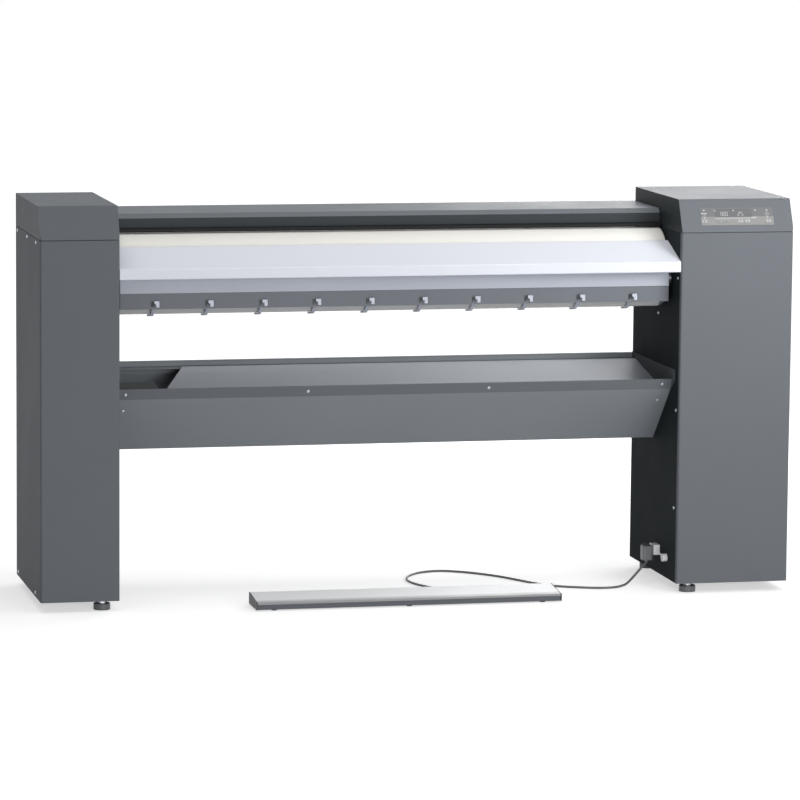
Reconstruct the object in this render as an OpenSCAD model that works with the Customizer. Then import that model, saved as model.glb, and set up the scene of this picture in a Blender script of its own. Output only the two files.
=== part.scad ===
// Flatwork ironer: two columns carry a padded roller, a heated trough that swings up against it,
// a feed table, a roller hood with a finger guard, and a laundry tray.
// Model axes: X to the right along the roller, Y to the back, Z up, floor at Z = 0.
// Inside the modules x starts at the left column's outer face and y at the columns' front.

/* [Columns] */
// Width of the left column
left_w = 195; // [185:1:260]
// Width of the right column, which holds both drives
right_w = 291; // [285:1:340]
// Clear width between the columns
work_w = 1420; // [1380:10:1700]
// Depth of the columns from front to back
column_d = 438; // [436:1:460]
// Height of a column's body, from its base to the cap seam
column_h = 888; // [885:1:910]
// Gap between the column body and the floor
foot_gap = 25; // [22:1:40]
// Sheet thickness of the casings and back panels
sheet_t = 1.5; // [1:0.1:2.2]
// Radius of the casings' upright corners
corner_r = 5; // [3:0.5:8]
// Thickness of the inner frame plates
plate_t = 6; // [5:0.5:8]

/* [Caps] */
// Height of the column caps
cap_h = 82; // [78:1:95]
// How far the cap's top edge is set back from its front
cap_slant = 37.5; // [25:0.5:45]
// Height of the upright strip at the foot of the cap's front
cap_lip = 6; // [4:0.5:10]
// Wall thickness of the caps
cap_wall = 2.5; // [2:0.1:3]
// Radius of the cap's top front edge
cap_edge_r = 8; // [4:0.5:12]

/* [Roller] */
// Distance of the roller axis behind the columns' front
roller_y = 200; // [198:0.5:203]
// Height of the roller axis above the floor
roller_z = 820; // [818:0.5:822]
// Radius of the roller over its cloth
roller_r = 92; // [90:0.5:92.5]
// Thickness of the ironing cloth
cloth_t = 2; // [1.5:0.1:3]
// Thickness of the padding under the cloth
padding_t = 8; // [6:0.5:10]
// Wall of the roller tube
tube_t = 4; // [3:0.5:6]
// Gap between the roller's end and the column
roller_gap = 3; // [2.5:0.1:4]
// Radius of the roller's end shafts
shaft_r = 17.5; // [15:0.5:20]

/* [Heated trough] */
// Distance of the trough pivot behind the columns' front
pivot_y = 102; // [101:0.5:103]
// Height of the trough pivot above the floor
pivot_z = 792; // [790:0.5:794]
// Angle by which the trough rests open, away from the roller
open_angle = 2.9; // [2.5:0.1:3.2]
// Inner radius of the heated plate
trough_r = 92.6; // [92.5:0.1:93]
// Thickness of the heated plate
trough_t = 5; // [4:0.5:6]
// How far the heated plate wraps towards the front, from straight down
wrap_front = 62; // [50:1:64]
// How far the heated plate wraps towards the back, from straight down
wrap_back = 78; // [60:1:82]
// Gap between the trough's ends and the columns
trough_gap = 12; // [11:0.5:16]
// Number of clamps along the trough cover
clamp_count = 10; // [4:1:12]
// Distance between neighbouring clamps
clamp_pitch = 135.1; // [100:0.1:138]

/* [Hood and feed table] */
// Height of the hood's top above the floor
hood_z = 959; // [957:0.5:970]
// Distance of the hood's front behind the columns' front
hood_y = 201; // [200:0.5:202]
// Sheet thickness of the hood
hood_t = 1.2; // [1:0.1:1.5]
// Height of the feed table's front crease above the floor
table_z = 841; // [838:0.5:846]
// Thickness of the feed table's sheet
table_t = 2; // [1.5:0.1:2.5]
// Height of the feed table's front lip
lip_h = 26; // [20:0.5:30]

/* [Laundry tray] */
// Height of the tray's rear edge above the floor
tray_z = 564; // [556:1:580]
// Height of the tray's bottom above the floor
tray_bottom_z = 366; // [340:1:380]
// Sheet thickness of the tray
tray_t = 1.5; // [1:0.1:2]

/* [Foot bar] */
// Length of the foot bar
bar_l = 775; // [600:5:900]
// Depth of the foot bar
bar_d = 102; // [95:1:110]
// Height of the foot bar at its rear edge
bar_back_h = 31; // [30:0.5:36]
// Height of the foot bar at its front edge
bar_front_h = 21; // [20:0.5:24]
// How far the foot bar stands in front of the columns
bar_reach = 66; // [60:1:90]
// Radius of the foot bar's cord
cord_r = 3; // [2.5:0.1:3.5]

/* [Drives] */
// Radius of the belt pulley on the roller
big_pulley_r = 62; // [56:1:66]
// Radius of the belt pulley on the gear motor
small_pulley_r = 22; // [18:1:26]
// Distance of the gear motor's shaft below the roller axis
motor_drop = 260; // [240:5:300]
// Cam radius at which the trough rests open
cam_low_r = 22; // [20:0.5:24]
// Angle through which the lift shaft turns to close the trough
cam_turn = 60; // [50:1:75]

/* [Hidden] */

// Smoothness of round pieces and of small round details
$fn = 96;
small_fn = 32;
// Overrun of cuts, clearance between still pieces and running clearance on a radius
cut = 1;
seat_gap = 0.3;
run_gap = 0.05;

// Main places along x, from the left column's outer face
total_w = left_w + work_w + right_w;
wall_l = left_w;
wall_r = left_w + work_w;
middle_x = left_w + work_w / 2;
// Main heights
seam_z = foot_gap + column_h;
top_z = seam_z + cap_h;
// Centre of the whole object's footprint, foot bar and cable gland included
gland_len = 16;
middle_y = (column_d + gland_len - bar_reach) / 2;

// Trough centre at rest, turned open about the pivot
reach_y = roller_y - pivot_y;
reach_z = roller_z - pivot_z;
trough_y = pivot_y + reach_y * cos(open_angle) + reach_z * sin(open_angle);
trough_z = pivot_z + reach_z * cos(open_angle) - reach_y * sin(open_angle);
trough_x0 = wall_l + trough_gap;
trough_x1 = wall_r - trough_gap;

module placed() translate([-total_w / 2, -middle_y, 0]) children();

// Extrudes a flat shape drawn in (y, z) from x0 to x1
module along_x(x0, x1)
    translate([x0, 0, 0]) rotate([90, 0, 90]) linear_extrude(x1 - x0) children();

// Mirrors a piece drawn at the right wall over to the left wall as well
module both_walls() {
    children();
    translate([2 * middle_x, 0, 0]) mirror([1, 0, 0]) children();
}

module rod_x(x0, x1, y, z, r, fn = $fn)
    translate([x0, y, z]) rotate([0, 90, 0]) cylinder(h = x1 - x0, r = r, $fn = fn);

module box(x0, x1, y0, y1, z0, z1)
    translate([x0, y0, z0]) cube([x1 - x0, y1 - y0, z1 - z0]);

module round_rect(w, d, r) {
    translate([r, 0]) square([w - 2 * r, d]);
    translate([0, r]) square([w, d - 2 * r]);
    for (x = [r, w - r], y = [r, d - r]) translate([x, y]) circle(r = r, $fn = small_fn);
}

// Step between a round end and the straight sides that leave it, so that both merge into one solid
merge_step = 0.1;

// Round bar drawn flat between two points
module link2d(p, q, r) {
    len_pq = norm(q - p);
    translate(p) rotate(atan2(q[1] - p[1], q[0] - p[0])) translate([0, merge_step - r])
        square([len_pq, 2 * (r - merge_step)]);
    translate(p) circle(r = r, $fn = small_fn);
    translate(q) circle(r = r, $fn = small_fn);
}

// Block with a convex outline in (y, z) and a true arc at each corner that has a radius
module filleted(x0, x1, p, radii) {
    last = len(p) - 1;
    corners = [for (i = [0:last]) let (
        a = unit(p[i == 0 ? last : i - 1] - p[i]),
        b = unit(p[i == last ? 0 : i + 1] - p[i]),
        half = acos(a * b) / 2)
        [p[i] + a * radii[i] / tan(half), p[i] + unit(a + b) * radii[i] / sin(half),
            p[i] + b * radii[i] / tan(half)]];
    along_x(x0, x1) polygon([for (c = corners) each [c[0], c[2]]]);
    for (i = [0:last]) if (radii[i] > 0)
        rod_x(x0, x1, corners[i][1][0], corners[i][1][1], radii[i]);
}

// Ring segment in (y, z) between two angles counted from straight down towards the front
module ring_part(cy, cz, r_in, r_out, a0, a1) intersection() {
    difference() {
        translate([cy, cz]) circle(r = r_out);
        translate([cy, cz]) circle(r = r_in);
    }
    polygon(concat([[cy, cz]], arc_points(cy, cz, 2 * r_out, a0, a1, 6)));
}

// Point on a circle in (y, z), with the angle counted from straight down towards the front
function round_point(cy, cz, r, a) = [cy - r * sin(a), cz - r * cos(a)];
function arc_points(cy, cz, r, a0, a1, n) =
    [for (i = [0:n]) round_point(cy, cz, r, a0 + (a1 - a0) * i / n)];
function unit(v) = v / norm(v);
function left_of(v) = [-v[1], v[0]];
function reversed(list) = [for (i = [len(list) - 1:-1:0]) list[i]];

// Path moved sideways by t, with mitred corners
function side_point(p, i, t) =
    let (last = len(p) - 1,
        a = unit(p[min(i + 1, last)] - p[min(i, last - 1)]),
        b = unit(p[max(i, 1)] - p[max(i - 1, 0)]),
        n = unit(left_of(a) + left_of(b)))
    p[i] + n * t / (n * left_of(a));
function side_path(p, t) = [for (i = [0:len(p) - 1]) side_point(p, i, t)];
module strip2d(p, t) polygon(concat(p, reversed(side_path(p, t))));

// Path with every inner corner rounded
function bend(p0, p1, p2, r, n) =
    let (a = unit(p0 - p1), b = unit(p2 - p1), half = acos(a * b) / 2,
        cut_len = r / tan(half), q = p1 + a * cut_len, s = p1 + b * cut_len)
    [for (i = [0:n]) let (t = i / n)
        (1 - t) * (1 - t) * q + 2 * t * (1 - t) * p1 + t * t * s];
function rounded(p, r, n) = concat([p[0]],
    [for (i = [1:len(p) - 2]) each bend(p[i - 1], p[i], p[i + 1], r, n)], [p[len(p) - 1]]);
bend_n = 5;

// Columns: a frame plate faces the roller, a casing wraps front, outer side and front return
return_w = 14;
flange_w = 30;
back_fold = 20;
bearing_hub_r = 32;
bush_wall = 4;
pin_r = 8;
lift_y = 385;
lift_z = 725;
lift_shaft_r = 10;
plate_back = column_d - sheet_t - seat_gap;

module frame_plate_right() {
    difference() {
        union() {
            box(wall_r, wall_r + plate_t, return_w + seat_gap, plate_back, foot_gap, seam_z);
            box(wall_r, wall_r + back_fold, plate_back - plate_t, plate_back, foot_gap, seam_z);
            box(wall_r, wall_r + back_fold, return_w + flange_w + 2 * sheet_t, return_w + flange_w +
                2 * sheet_t + plate_t, foot_gap, seam_z);
        }
        rod_x(wall_r - cut, wall_r + back_fold + cut, roller_y, roller_z, bearing_hub_r);
        rod_x(wall_r - cut, wall_r + back_fold + cut, pivot_y, pivot_z, pin_r + bush_wall);
        rod_x(wall_r - cut, wall_r + back_fold + cut, lift_y, lift_z, lift_shaft_r + bush_wall);
        // Way through for the foot bar's socket leads
        rod_x(wall_r - cut, wall_r + plate_t + cut, socket_y, socket_z, socket_hole_r);
    }
}

module right_frame_plate() color("#2b2f31") placed() frame_plate_right();
module left_frame_plate() color("#2b2f31") placed()
    translate([2 * middle_x, 0, 0]) mirror([1, 0, 0]) frame_plate_right();

// Casing drawn for the right column: inner return at x = 0, outer side at x = w
module casing_profile(w) {
    difference() {
        round_rect(w, column_d, corner_r);
        translate([sheet_t, sheet_t]) round_rect(w - 2 * sheet_t, column_d, corner_r - sheet_t);
        translate([-cut, return_w]) square([w - back_fold, column_d]);
        translate([w - back_fold - cut, column_d - sheet_t])
            square([back_fold - corner_r + cut, sheet_t + cut]);
        translate([w - back_fold - cut, return_w]) square([back_fold - corner_r, column_d]);
    }
    // Joggled flange that lies behind the frame plate's front edge
    translate([0, return_w - sheet_t]) square([plate_t + sheet_t + seat_gap, sheet_t]);
    translate([plate_t + seat_gap, return_w - sheet_t]) square([sheet_t, flange_w + sheet_t]);
    // Rear fold that carries the back panel
    translate([w - back_fold, column_d - 2 * sheet_t - seat_gap])
        square([back_fold - sheet_t, sheet_t]);
}

module casing_right(w) {
    translate([0, 0, foot_gap]) linear_extrude(column_h) casing_profile(w);
}
module right_casing() color("#5e6468") placed() translate([wall_r, 0, 0]) casing_right(right_w);
module left_casing() color("#5e6468") placed()
    translate([wall_l, 0, 0]) mirror([1, 0, 0]) casing_right(left_w);

vent_w = 3;
vent_pitch = 9;
vent_rows = 12;
vent_side = 30;
vent_z = 640;
gland_r = 10;
gland_in = 70;
gland_z = 150;
module back_panel(w) {
    difference() {
        box(seat_gap, w - corner_r, column_d - sheet_t, column_d, foot_gap, seam_z - seat_gap);
        for (i = [0:vent_rows - 1])
            box(vent_side, w - vent_side - corner_r, column_d - sheet_t - cut, column_d + cut,
                vent_z + i * vent_pitch, vent_z + i * vent_pitch + vent_w);
    }
}
module back_panels() color("#54595c") placed() {
    difference() {
        translate([wall_r, 0, 0]) back_panel(right_w);
        translate([wall_r + gland_in, column_d + cut, gland_z]) rotate([90, 0, 0])
            cylinder(h = sheet_t + 2 * cut, r = gland_r);
    }
    translate([wall_l, 0, 0]) mirror([1, 0, 0]) back_panel(left_w);
}

// Base frames, feet and their nuts
base_t = 3;
base_rim = 38;
foot_inset = 39;
foot_y = 36;
stem_r = 6;
stem_top = 34;
nut_r = 10;
nut_h = 8;
pad_r = 21;
pad_h = 16;
pad_edge = 1.5;
module base_frame(w) difference() {
    x0 = plate_t + 2 * sheet_t;
    x1 = w - sheet_t - 2 * seat_gap;
    y0 = 2 * sheet_t + seat_gap;
    y1 = plate_back - plate_t - seat_gap;
    box(x0, x1, y0, y1, foot_gap, foot_gap + base_rim);
    difference() {
        box(x0 + base_t, x1 - base_t, y0 + base_t, y1 - base_t, foot_gap + base_t,
            foot_gap + base_rim + cut);
    }
    box(x0 - cut, back_fold + seat_gap, y0 - cut, return_w + flange_w + 2 * sheet_t + plate_t +
        seat_gap, foot_gap - cut, foot_gap + base_rim + cut);
    for (y = [foot_y, column_d - foot_y])
        translate([foot_inset, y, foot_gap - cut]) cylinder(h = base_t + 2 * cut, r = stem_r + run_gap);
}
module base_frames() color("#3a3e41") placed() {
    translate([wall_r, 0, 0]) base_frame(right_w);
    translate([wall_l, 0, 0]) mirror([1, 0, 0]) base_frame(left_w);
}
module each_foot() for (x = [wall_l - foot_inset, wall_r + foot_inset], y = [foot_y, column_d - foot_y])
    translate([x, y, 0]) children();
module foot_stems() color("#2a2c2e") placed() each_foot() {
    translate([0, 0, pad_h - seat_gap]) cylinder(h = foot_gap + stem_top - pad_h, r = stem_r,
        $fn = small_fn);
    translate([0, 0, foot_gap - nut_h]) cylinder(h = nut_h, r = nut_r, $fn = 6);
    translate([0, 0, foot_gap + base_t]) cylinder(h = nut_h, r = nut_r, $fn = 6);
}
module foot_pads() color("#8f9496") placed() each_foot() difference() {
    union() {
        cylinder(h = pad_h - pad_edge, r = pad_r);
        translate([0, 0, pad_h - pad_edge]) cylinder(h = pad_edge, r1 = pad_r, r2 = pad_r - pad_edge);
    }
    translate([0, 0, pad_h - seat_gap]) cylinder(h = cut, r = stem_r);
}

// Caps with a slanted front, hollow and open below
slant_angle = atan(cap_slant / (cap_h - cap_lip));
slant_len = norm([cap_slant, cap_h - cap_lip]);
cap_back_r = 3;
groove_h = 2;
groove_d = 1.2;
module cap_block(x0, x1, inset) filleted(x0, x1, [
    [inset, seam_z - (inset > 0 ? cut : 0)],
    [inset, seam_z + cap_lip - inset * (1 / cos(slant_angle) - 1) / tan(slant_angle)],
    [(cap_h - cap_lip - inset) * tan(slant_angle) + inset / cos(slant_angle), top_z - inset],
    [column_d - inset, top_z - inset],
    [column_d - inset, seam_z - (inset > 0 ? cut : 0)]],
    [0, cap_back_r, cap_edge_r - inset, cap_back_r - inset / 2, 0]);
module cap_shell(w) difference() {
    intersection() {
        cap_block(0, w, 0);
        translate([0, 0, seam_z]) linear_extrude(cap_h + cut) round_rect(w, column_d, corner_r);
    }
    cap_block(cap_wall, w - cap_wall, cap_wall);
    // Shadow groove along the seam with the casing
    translate([0, 0, seam_z - cut]) linear_extrude(groove_h + cut) difference() {
        translate([-cut, -cut]) square([w + 2 * cut, column_d + 2 * cut]);
        translate([groove_d, groove_d]) round_rect(w - 2 * groove_d, column_d - 2 * groove_d,
            corner_r - groove_d);
    }
}
// Local frame on the slanted front: x along the column, y up the slope, z outwards
module on_slant() translate([0, 0, seam_z + cap_lip]) rotate([90 - slant_angle, 0, 0]) children();

panel_x = 52;
panel_w = 190;
panel_v = 14;
panel_h = 47;
panel_t = 1.6;
panel_pocket = 1;
panel_r = 2;
window_x = 38;
window_w = 96;
window_v = 22;
window_h = 21;
window_t = 1.2;
key_w = 13;
key_h = 8;
key_r = 1.2;
key_gap = 0.3;
key_travel = 0.8;
key_proud = 1;
key_v = 10.5;
stem_key_r = 1.8;
stem_key_l = 7;
key_shares = [0.047, 0.253, 0.347, 0.542, 0.637, 0.926];
module key_outline(grow) translate([-key_w / 2 - grow, -key_h / 2 - grow])
    round_rect(key_w + 2 * grow, key_h + 2 * grow, key_r);
module each_key() for (k = key_shares) translate([panel_x + k * panel_w, panel_v + key_v, 0]) children();

module right_cap() color("#666c70") placed() translate([wall_r, 0, 0]) difference() {
    cap_shell(right_w);
    on_slant() translate([panel_x - seat_gap, panel_v - seat_gap, -panel_pocket])
        linear_extrude(panel_pocket + cut) round_rect(panel_w + 2 * seat_gap, panel_h +
            2 * seat_gap, panel_r);
    on_slant() each_key() translate([0, 0, -2 * cap_wall]) linear_extrude(2 * cap_wall)
        key_outline(key_gap);
    on_slant() translate([panel_x + window_x + key_w / 2, panel_v + window_v + key_h / 4,
        -2 * cap_wall]) cube([window_w - key_w, window_h - key_h / 2, 2 * cap_wall]);
}
module left_cap() color("#666c70") placed()
    translate([wall_l, 0, 0]) mirror([1, 0, 0]) cap_shell(left_w);

module control_panel() color("#7b7f80") placed() translate([wall_r, 0, 0]) on_slant()
    translate([0, 0, -panel_pocket]) difference() {
        translate([panel_x, panel_v, 0]) linear_extrude(panel_t) round_rect(panel_w, panel_h, panel_r);
        translate([0, 0, -cut]) each_key() linear_extrude(panel_t + 2 * cut) key_outline(key_gap);
        translate([panel_x + window_x, panel_v + window_v, panel_t - window_t])
            cube([window_w, window_h, window_t + cut]);
        translate([panel_x + window_x + key_w / 2, panel_v + window_v + key_h / 4, -cut])
            cube([window_w - key_w, window_h - key_h / 2, panel_t + 2 * cut]);
    }
module display_window() color("#1d2022") placed() translate([wall_r, 0, 0]) on_slant()
    translate([panel_x + window_x + seat_gap, panel_v + window_v + seat_gap,
        panel_t - panel_pocket - window_t])
        cube([window_w - 2 * seat_gap, window_h - 2 * seat_gap, window_t]);

// One key: a cap that stands proud of the panel and a stem that reaches its switch
module panel_key(i) placed() translate([wall_r, 0, 0]) on_slant()
    translate([panel_x + key_shares[i] * panel_w, panel_v + key_v, 0]) {
        translate([0, 0, -panel_pocket]) linear_extrude(panel_t + key_proud) key_outline(0);
        translate([0, 0, -stem_key_l]) cylinder(h = stem_key_l, r = stem_key_r, $fn = small_fn);
    }
module key_start() color("#d8dadb") panel_key(0);
module key_temp_down() color("#9fa3a4") panel_key(1);
module key_temp_up() color("#9fa3a4") panel_key(2);
module key_speed_down() color("#9fa3a4") panel_key(3);
module key_speed_up() color("#9fa3a4") panel_key(4);
module key_power() color("#d8dadb") panel_key(5);

// Circuit board behind the panel, with a switch under every key and a display block
board_t = 1.6;
board_margin = 5;
switch_h = 4;
board_depth = stem_key_l + key_travel + seat_gap + switch_h;
post_r = 3;
display_gap = 2;
module control_board() color("#2f5d46") placed() translate([wall_r, 0, 0]) on_slant() {
    translate([panel_x - board_margin, panel_v - board_margin, -board_depth - board_t])
        cube([panel_w + 2 * board_margin, panel_h + 2 * board_margin, board_t]);
    each_key() translate([-key_h / 2, -key_h / 2, -board_depth]) cube([key_h, key_h, switch_h]);
    translate([panel_x + window_x + key_w, panel_v + window_v + key_h / 2, -board_depth])
        cube([window_w - 2 * key_w, window_h - key_h, board_depth - panel_pocket - display_gap]);
    // Pillars against the inside of the cap
    for (x = [panel_x - board_margin + post_r, panel_x + panel_w + board_margin - post_r],
        y = [panel_v - board_margin + post_r, panel_v + panel_h + board_margin - post_r])
        translate([x, y, -board_depth]) cylinder(h = board_depth - cap_wall - seat_gap, r = post_r,
            $fn = small_fn);
}

// Roller
roller_x0 = wall_l + roller_gap;
roller_x1 = wall_r - roller_gap;
padding_r = roller_r - cloth_t;
tube_r = padding_r - padding_t;
end_t = 8;
end_in = 12;
spoke_hole_r = 15;
spoke_hole_at = 50;
spoke_count = 6;
shaft_out = 88;
hub_r = 30;
hub_l = 26;
module ring_x(x0, x1, r_out, r_in) translate([0, 0, 0]) difference() {
    rod_x(x0, x1, roller_y, roller_z, r_out);
    rod_x(x0 - cut, x1 + cut, roller_y, roller_z, r_in);
}
module roller_tube() color("#a9adb0") placed()
    ring_x(roller_x0, roller_x1, tube_r, tube_r - tube_t);
module roller_padding() color("#cfc9b8") placed()
    ring_x(roller_x0, roller_x1, padding_r, tube_r);
module roller_cloth() color("#efece0") placed()
    ring_x(roller_x0, roller_x1, roller_r, padding_r);
// End disc, hub and shaft, welded into the tube's end
module roller_end() {
    difference() {
        union() {
            rod_x(roller_x1 - end_in - end_t, roller_x1 - end_in, roller_y, roller_z,
                tube_r - tube_t);
            rod_x(roller_x1 - end_in - hub_l, roller_x1 - end_in - end_t, roller_y, roller_z, hub_r);
        }
        for (i = [0:spoke_count - 1]) {
            p = round_point(roller_y, roller_z, spoke_hole_at, i * 360 / spoke_count);
            rod_x(roller_x1 - end_in - end_t - cut, roller_x1 - end_in + cut, p[0], p[1],
                spoke_hole_r, small_fn);
        }
    }
    rod_x(roller_x1 - end_in, wall_r + shaft_out, roller_y, roller_z, shaft_r);
}
module roller_ends() color("#8d9194") placed() both_walls() roller_end();

// Flanged bearings outside the frame plates
flange_half = 42;
flange_t = 12;
bearing_l = 29;
bolt_r = 5;
bolt_at = 33;
module bearing() {
    x0 = wall_r + plate_t;
    difference() {
        union() {
            box(x0, x0 + flange_t, roller_y - flange_half, roller_y + flange_half,
                roller_z - flange_half, roller_z + flange_half);
            rod_x(wall_r + seat_gap, x0 + bearing_l, roller_y, roller_z, bearing_hub_r - seat_gap);
        }
        rod_x(wall_r - cut, x0 + bearing_l + cut, roller_y, roller_z, shaft_r + run_gap);
    }
    for (y = [-bolt_at, bolt_at], z = [-bolt_at, bolt_at])
        rod_x(x0 + flange_t, x0 + flange_t + bolt_r, roller_y + y, roller_z + z, 2 * bolt_r, 6);
}
module roller_bearings() color("#4a4e50") placed() both_walls() bearing();

// Plain bushes for the trough pivots and the lift shaft
bush_rim = 2;
bush_rim_t = 2;
module bush(y, z, r) difference() {
    union() {
        rod_x(wall_r, wall_r + plate_t, y, z, r + bush_wall);
        rod_x(wall_r + plate_t, wall_r + plate_t + bush_rim_t, y, z, r + bush_wall + bush_rim);
    }
    rod_x(wall_r - cut, wall_r + plate_t + bush_rim_t + cut, y, z, r + run_gap);
}
module plain_bushes() color("#b08d4a") placed() both_walls() {
    bush(pivot_y, pivot_z, pin_r);
    bush(lift_y, lift_z, lift_shaft_r);
}

// Belt drive of the roller
pulley_w = 20;
pulley_in = 48;
pulley_x = wall_r + pulley_in;
pulley_rim = 4;
pulley_rim_t = 2.5;
belt_t = 4;
belt_gap = 0.3;
motor_z = roller_z - motor_drop;
motor_shaft_r = 9;
motor_in = 80;
motor_x = wall_r + motor_in;
gear_half = 52;
gear_l = 60;
motor_r = 46;
motor_l = 110;
fin_count = 16;
fin_t = 2.5;
fin_h = 5;
fan_l = 18;
post_at = 40;
post_drive_r = 6;
module pulley(z, r, bore, web_r) difference() {
    union() {
        rod_x(pulley_x, pulley_x + pulley_w, roller_y, z, r);
        rod_x(pulley_x - pulley_rim_t, pulley_x, roller_y, z, r + pulley_rim);
        rod_x(pulley_x + pulley_w, pulley_x + pulley_w + pulley_rim_t, roller_y, z, r + pulley_rim);
    }
    if (bore > 0) rod_x(pulley_x - pulley_w, pulley_x + 2 * pulley_w, roller_y, z, bore);
    if (web_r > 0) for (i = [0:spoke_count - 1]) {
        p = round_point(roller_y, z, (r + bore) / 2, i * 360 / spoke_count);
        rod_x(pulley_x - pulley_w, pulley_x + 2 * pulley_w, p[0], p[1], web_r, small_fn);
    }
}
module roller_pulley() color("#5c6063") placed()
    pulley(roller_z, big_pulley_r, shaft_r, (big_pulley_r - shaft_r) / 4);
// Output shaft of the gear motor with its pulley
module motor_pulley() color("#5c6063") placed() {
    pulley(motor_z, small_pulley_r, 0, 0);
    rod_x(pulley_x - pulley_rim_t, motor_x + gear_l / 3, roller_y, motor_z, motor_shaft_r);
}
// Block round both pulleys, grown outwards
module belt_block(x0, x1, grow) {
    r1 = big_pulley_r + grow;
    r2 = small_pulley_r + grow;
    tilt = asin((r1 - r2) / motor_drop);
    s1 = r1 - merge_step;
    s2 = r2 - merge_step;
    rod_x(x0, x1, roller_y, roller_z, r1);
    rod_x(x0, x1, roller_y, motor_z, r2);
    along_x(x0, x1) polygon([
        [roller_y + s1 * cos(tilt), roller_z - s1 * sin(tilt)],
        [roller_y + s2 * cos(tilt), motor_z - s2 * sin(tilt)],
        [roller_y - s2 * cos(tilt), motor_z - s2 * sin(tilt)],
        [roller_y - s1 * cos(tilt), roller_z - s1 * sin(tilt)]]);
}
module drive_belt() color("#1b1c1d") placed() difference() {
    belt_block(pulley_x + seat_gap, pulley_x + pulley_w - seat_gap, belt_gap + belt_t);
    belt_block(pulley_x, pulley_x + pulley_w, belt_gap);
}

module finned_motor(l, r) {
    cylinder(h = l, r = r);
    for (i = [0:fin_count - 1]) rotate(i * 360 / fin_count)
        translate([0, -fin_t / 2, fan_l / 2]) cube([r + fin_h, fin_t, l - fan_l]);
    translate([0, 0, l - seat_gap]) cylinder(h = fan_l, r = r + fin_h);
}
module drive_gear_motor() color("#3d5a63") placed() {
    difference() {
        union() {
            box(motor_x, motor_x + gear_l, roller_y - gear_half, roller_y + gear_half,
                motor_z - gear_half, motor_z + gear_half);
            rod_x(motor_x - pulley_rim, motor_x, roller_y, motor_z, 2 * motor_shaft_r);
        }
        rod_x(motor_x - 2 * pulley_rim, motor_x + gear_l / 2, roller_y, motor_z,
            motor_shaft_r + run_gap);
    }
    translate([motor_x + gear_l, roller_y, motor_z]) rotate([0, 90, 0]) finned_motor(motor_l, motor_r);
    for (y = [-post_at, post_at], z = [-post_at, post_at])
        rod_x(wall_r + plate_t, motor_x, roller_y + y, motor_z + z, post_drive_r, small_fn);
}

// Lift of the trough: arms on the pivot pins rest on spiral cams of a cross shaft
arm_t = 8;
arm_gap = 3;
arm_x = wall_r + plate_t + bush_rim_t + arm_gap;
arm_eye_r = 17;
arm_bar_r = 10;
arm_knee_out = 40;
arm_knee_drop = 46;
arm_knee = [pivot_y + arm_knee_out, pivot_z - arm_knee_drop];
nose_r = 9;
cam_gap = 0.4;
arm_reach = lift_y - pivot_y;
cam_spare = 8;
cam_n = 30;
nose_z = lift_z + cam_low_r + cam_gap + nose_r;
module lift_arm() {
    along_x(arm_x, arm_x + arm_t) {
        translate([pivot_y, pivot_z]) circle(r = arm_eye_r);
        link2d([pivot_y, pivot_z], arm_knee, arm_bar_r);
        link2d(arm_knee, [lift_y, nose_z], nose_r);
    }
    rod_x(trough_x1 - end_plate_t, arm_x + arm_t, pivot_y, pivot_z, pin_r);
}
module lift_arms() color("#767b7e") placed() both_walls() lift_arm();

// Cam flank: the path of the arm's nose as the cam sees it, moved in by the nose's radius
function turned(p, a) = [p[0] * cos(a) - p[1] * sin(a), p[0] * sin(a) + p[1] * cos(a)];
nose_at_rest = [lift_y - pivot_y, nose_z - pivot_z];
function nose_seen(a) = turned([pivot_y - lift_y, pivot_z - lift_z]
    + turned(nose_at_rest, open_angle * a / cam_turn), -a);
cam_path = [for (i = [0:cam_n])
    nose_seen(-cam_spare + (cam_turn + 2 * cam_spare) * i / cam_n)];
cam_points = concat(side_path(cam_path, -nose_r - cam_gap), [[0, 0]]);
module cam() along_x(arm_x - cut, arm_x + arm_t + cut)
    translate([lift_y, lift_z]) union() {
        polygon(cam_points);
        circle(r = lift_shaft_r * 2);
    }
lift_motor_gap = 10;
lift_motor_x = arm_x + arm_t + lift_motor_gap;
lift_box_l = 60;
lift_box_half = 36;
lift_motor_r = 30;
lift_motor_l = 130;
module lift_shaft() color("#8d9194") placed() {
    rod_x(wall_l - plate_t - arm_t - 2 * bush_rim_t - post_r, lift_motor_x + lift_box_l / 2,
        lift_y, lift_z, lift_shaft_r);
    both_walls() cam();
}
module lift_gear_motor() color("#3d5a63") placed() {
    difference() {
        box(lift_motor_x, lift_motor_x + lift_box_l, lift_y - lift_box_half,
            lift_y + lift_box_half, lift_z - lift_box_half, lift_z + lift_box_half);
        rod_x(lift_motor_x - cut, lift_motor_x + lift_box_l / 2 + cut, lift_y, lift_z,
            lift_shaft_r + run_gap);
    }
    translate([lift_motor_x + lift_box_l / 2, lift_y, lift_z - lift_box_half]) rotate([180, 0, 0])
        cylinder(h = lift_motor_l, r = lift_motor_r);
    for (y = [lift_y - lift_box_half + post_drive_r, lift_y + lift_box_half - post_drive_r])
        rod_x(wall_r + plate_t, lift_motor_x, y, lift_z - lift_box_half + post_drive_r,
            post_drive_r, small_fn);
}

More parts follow.
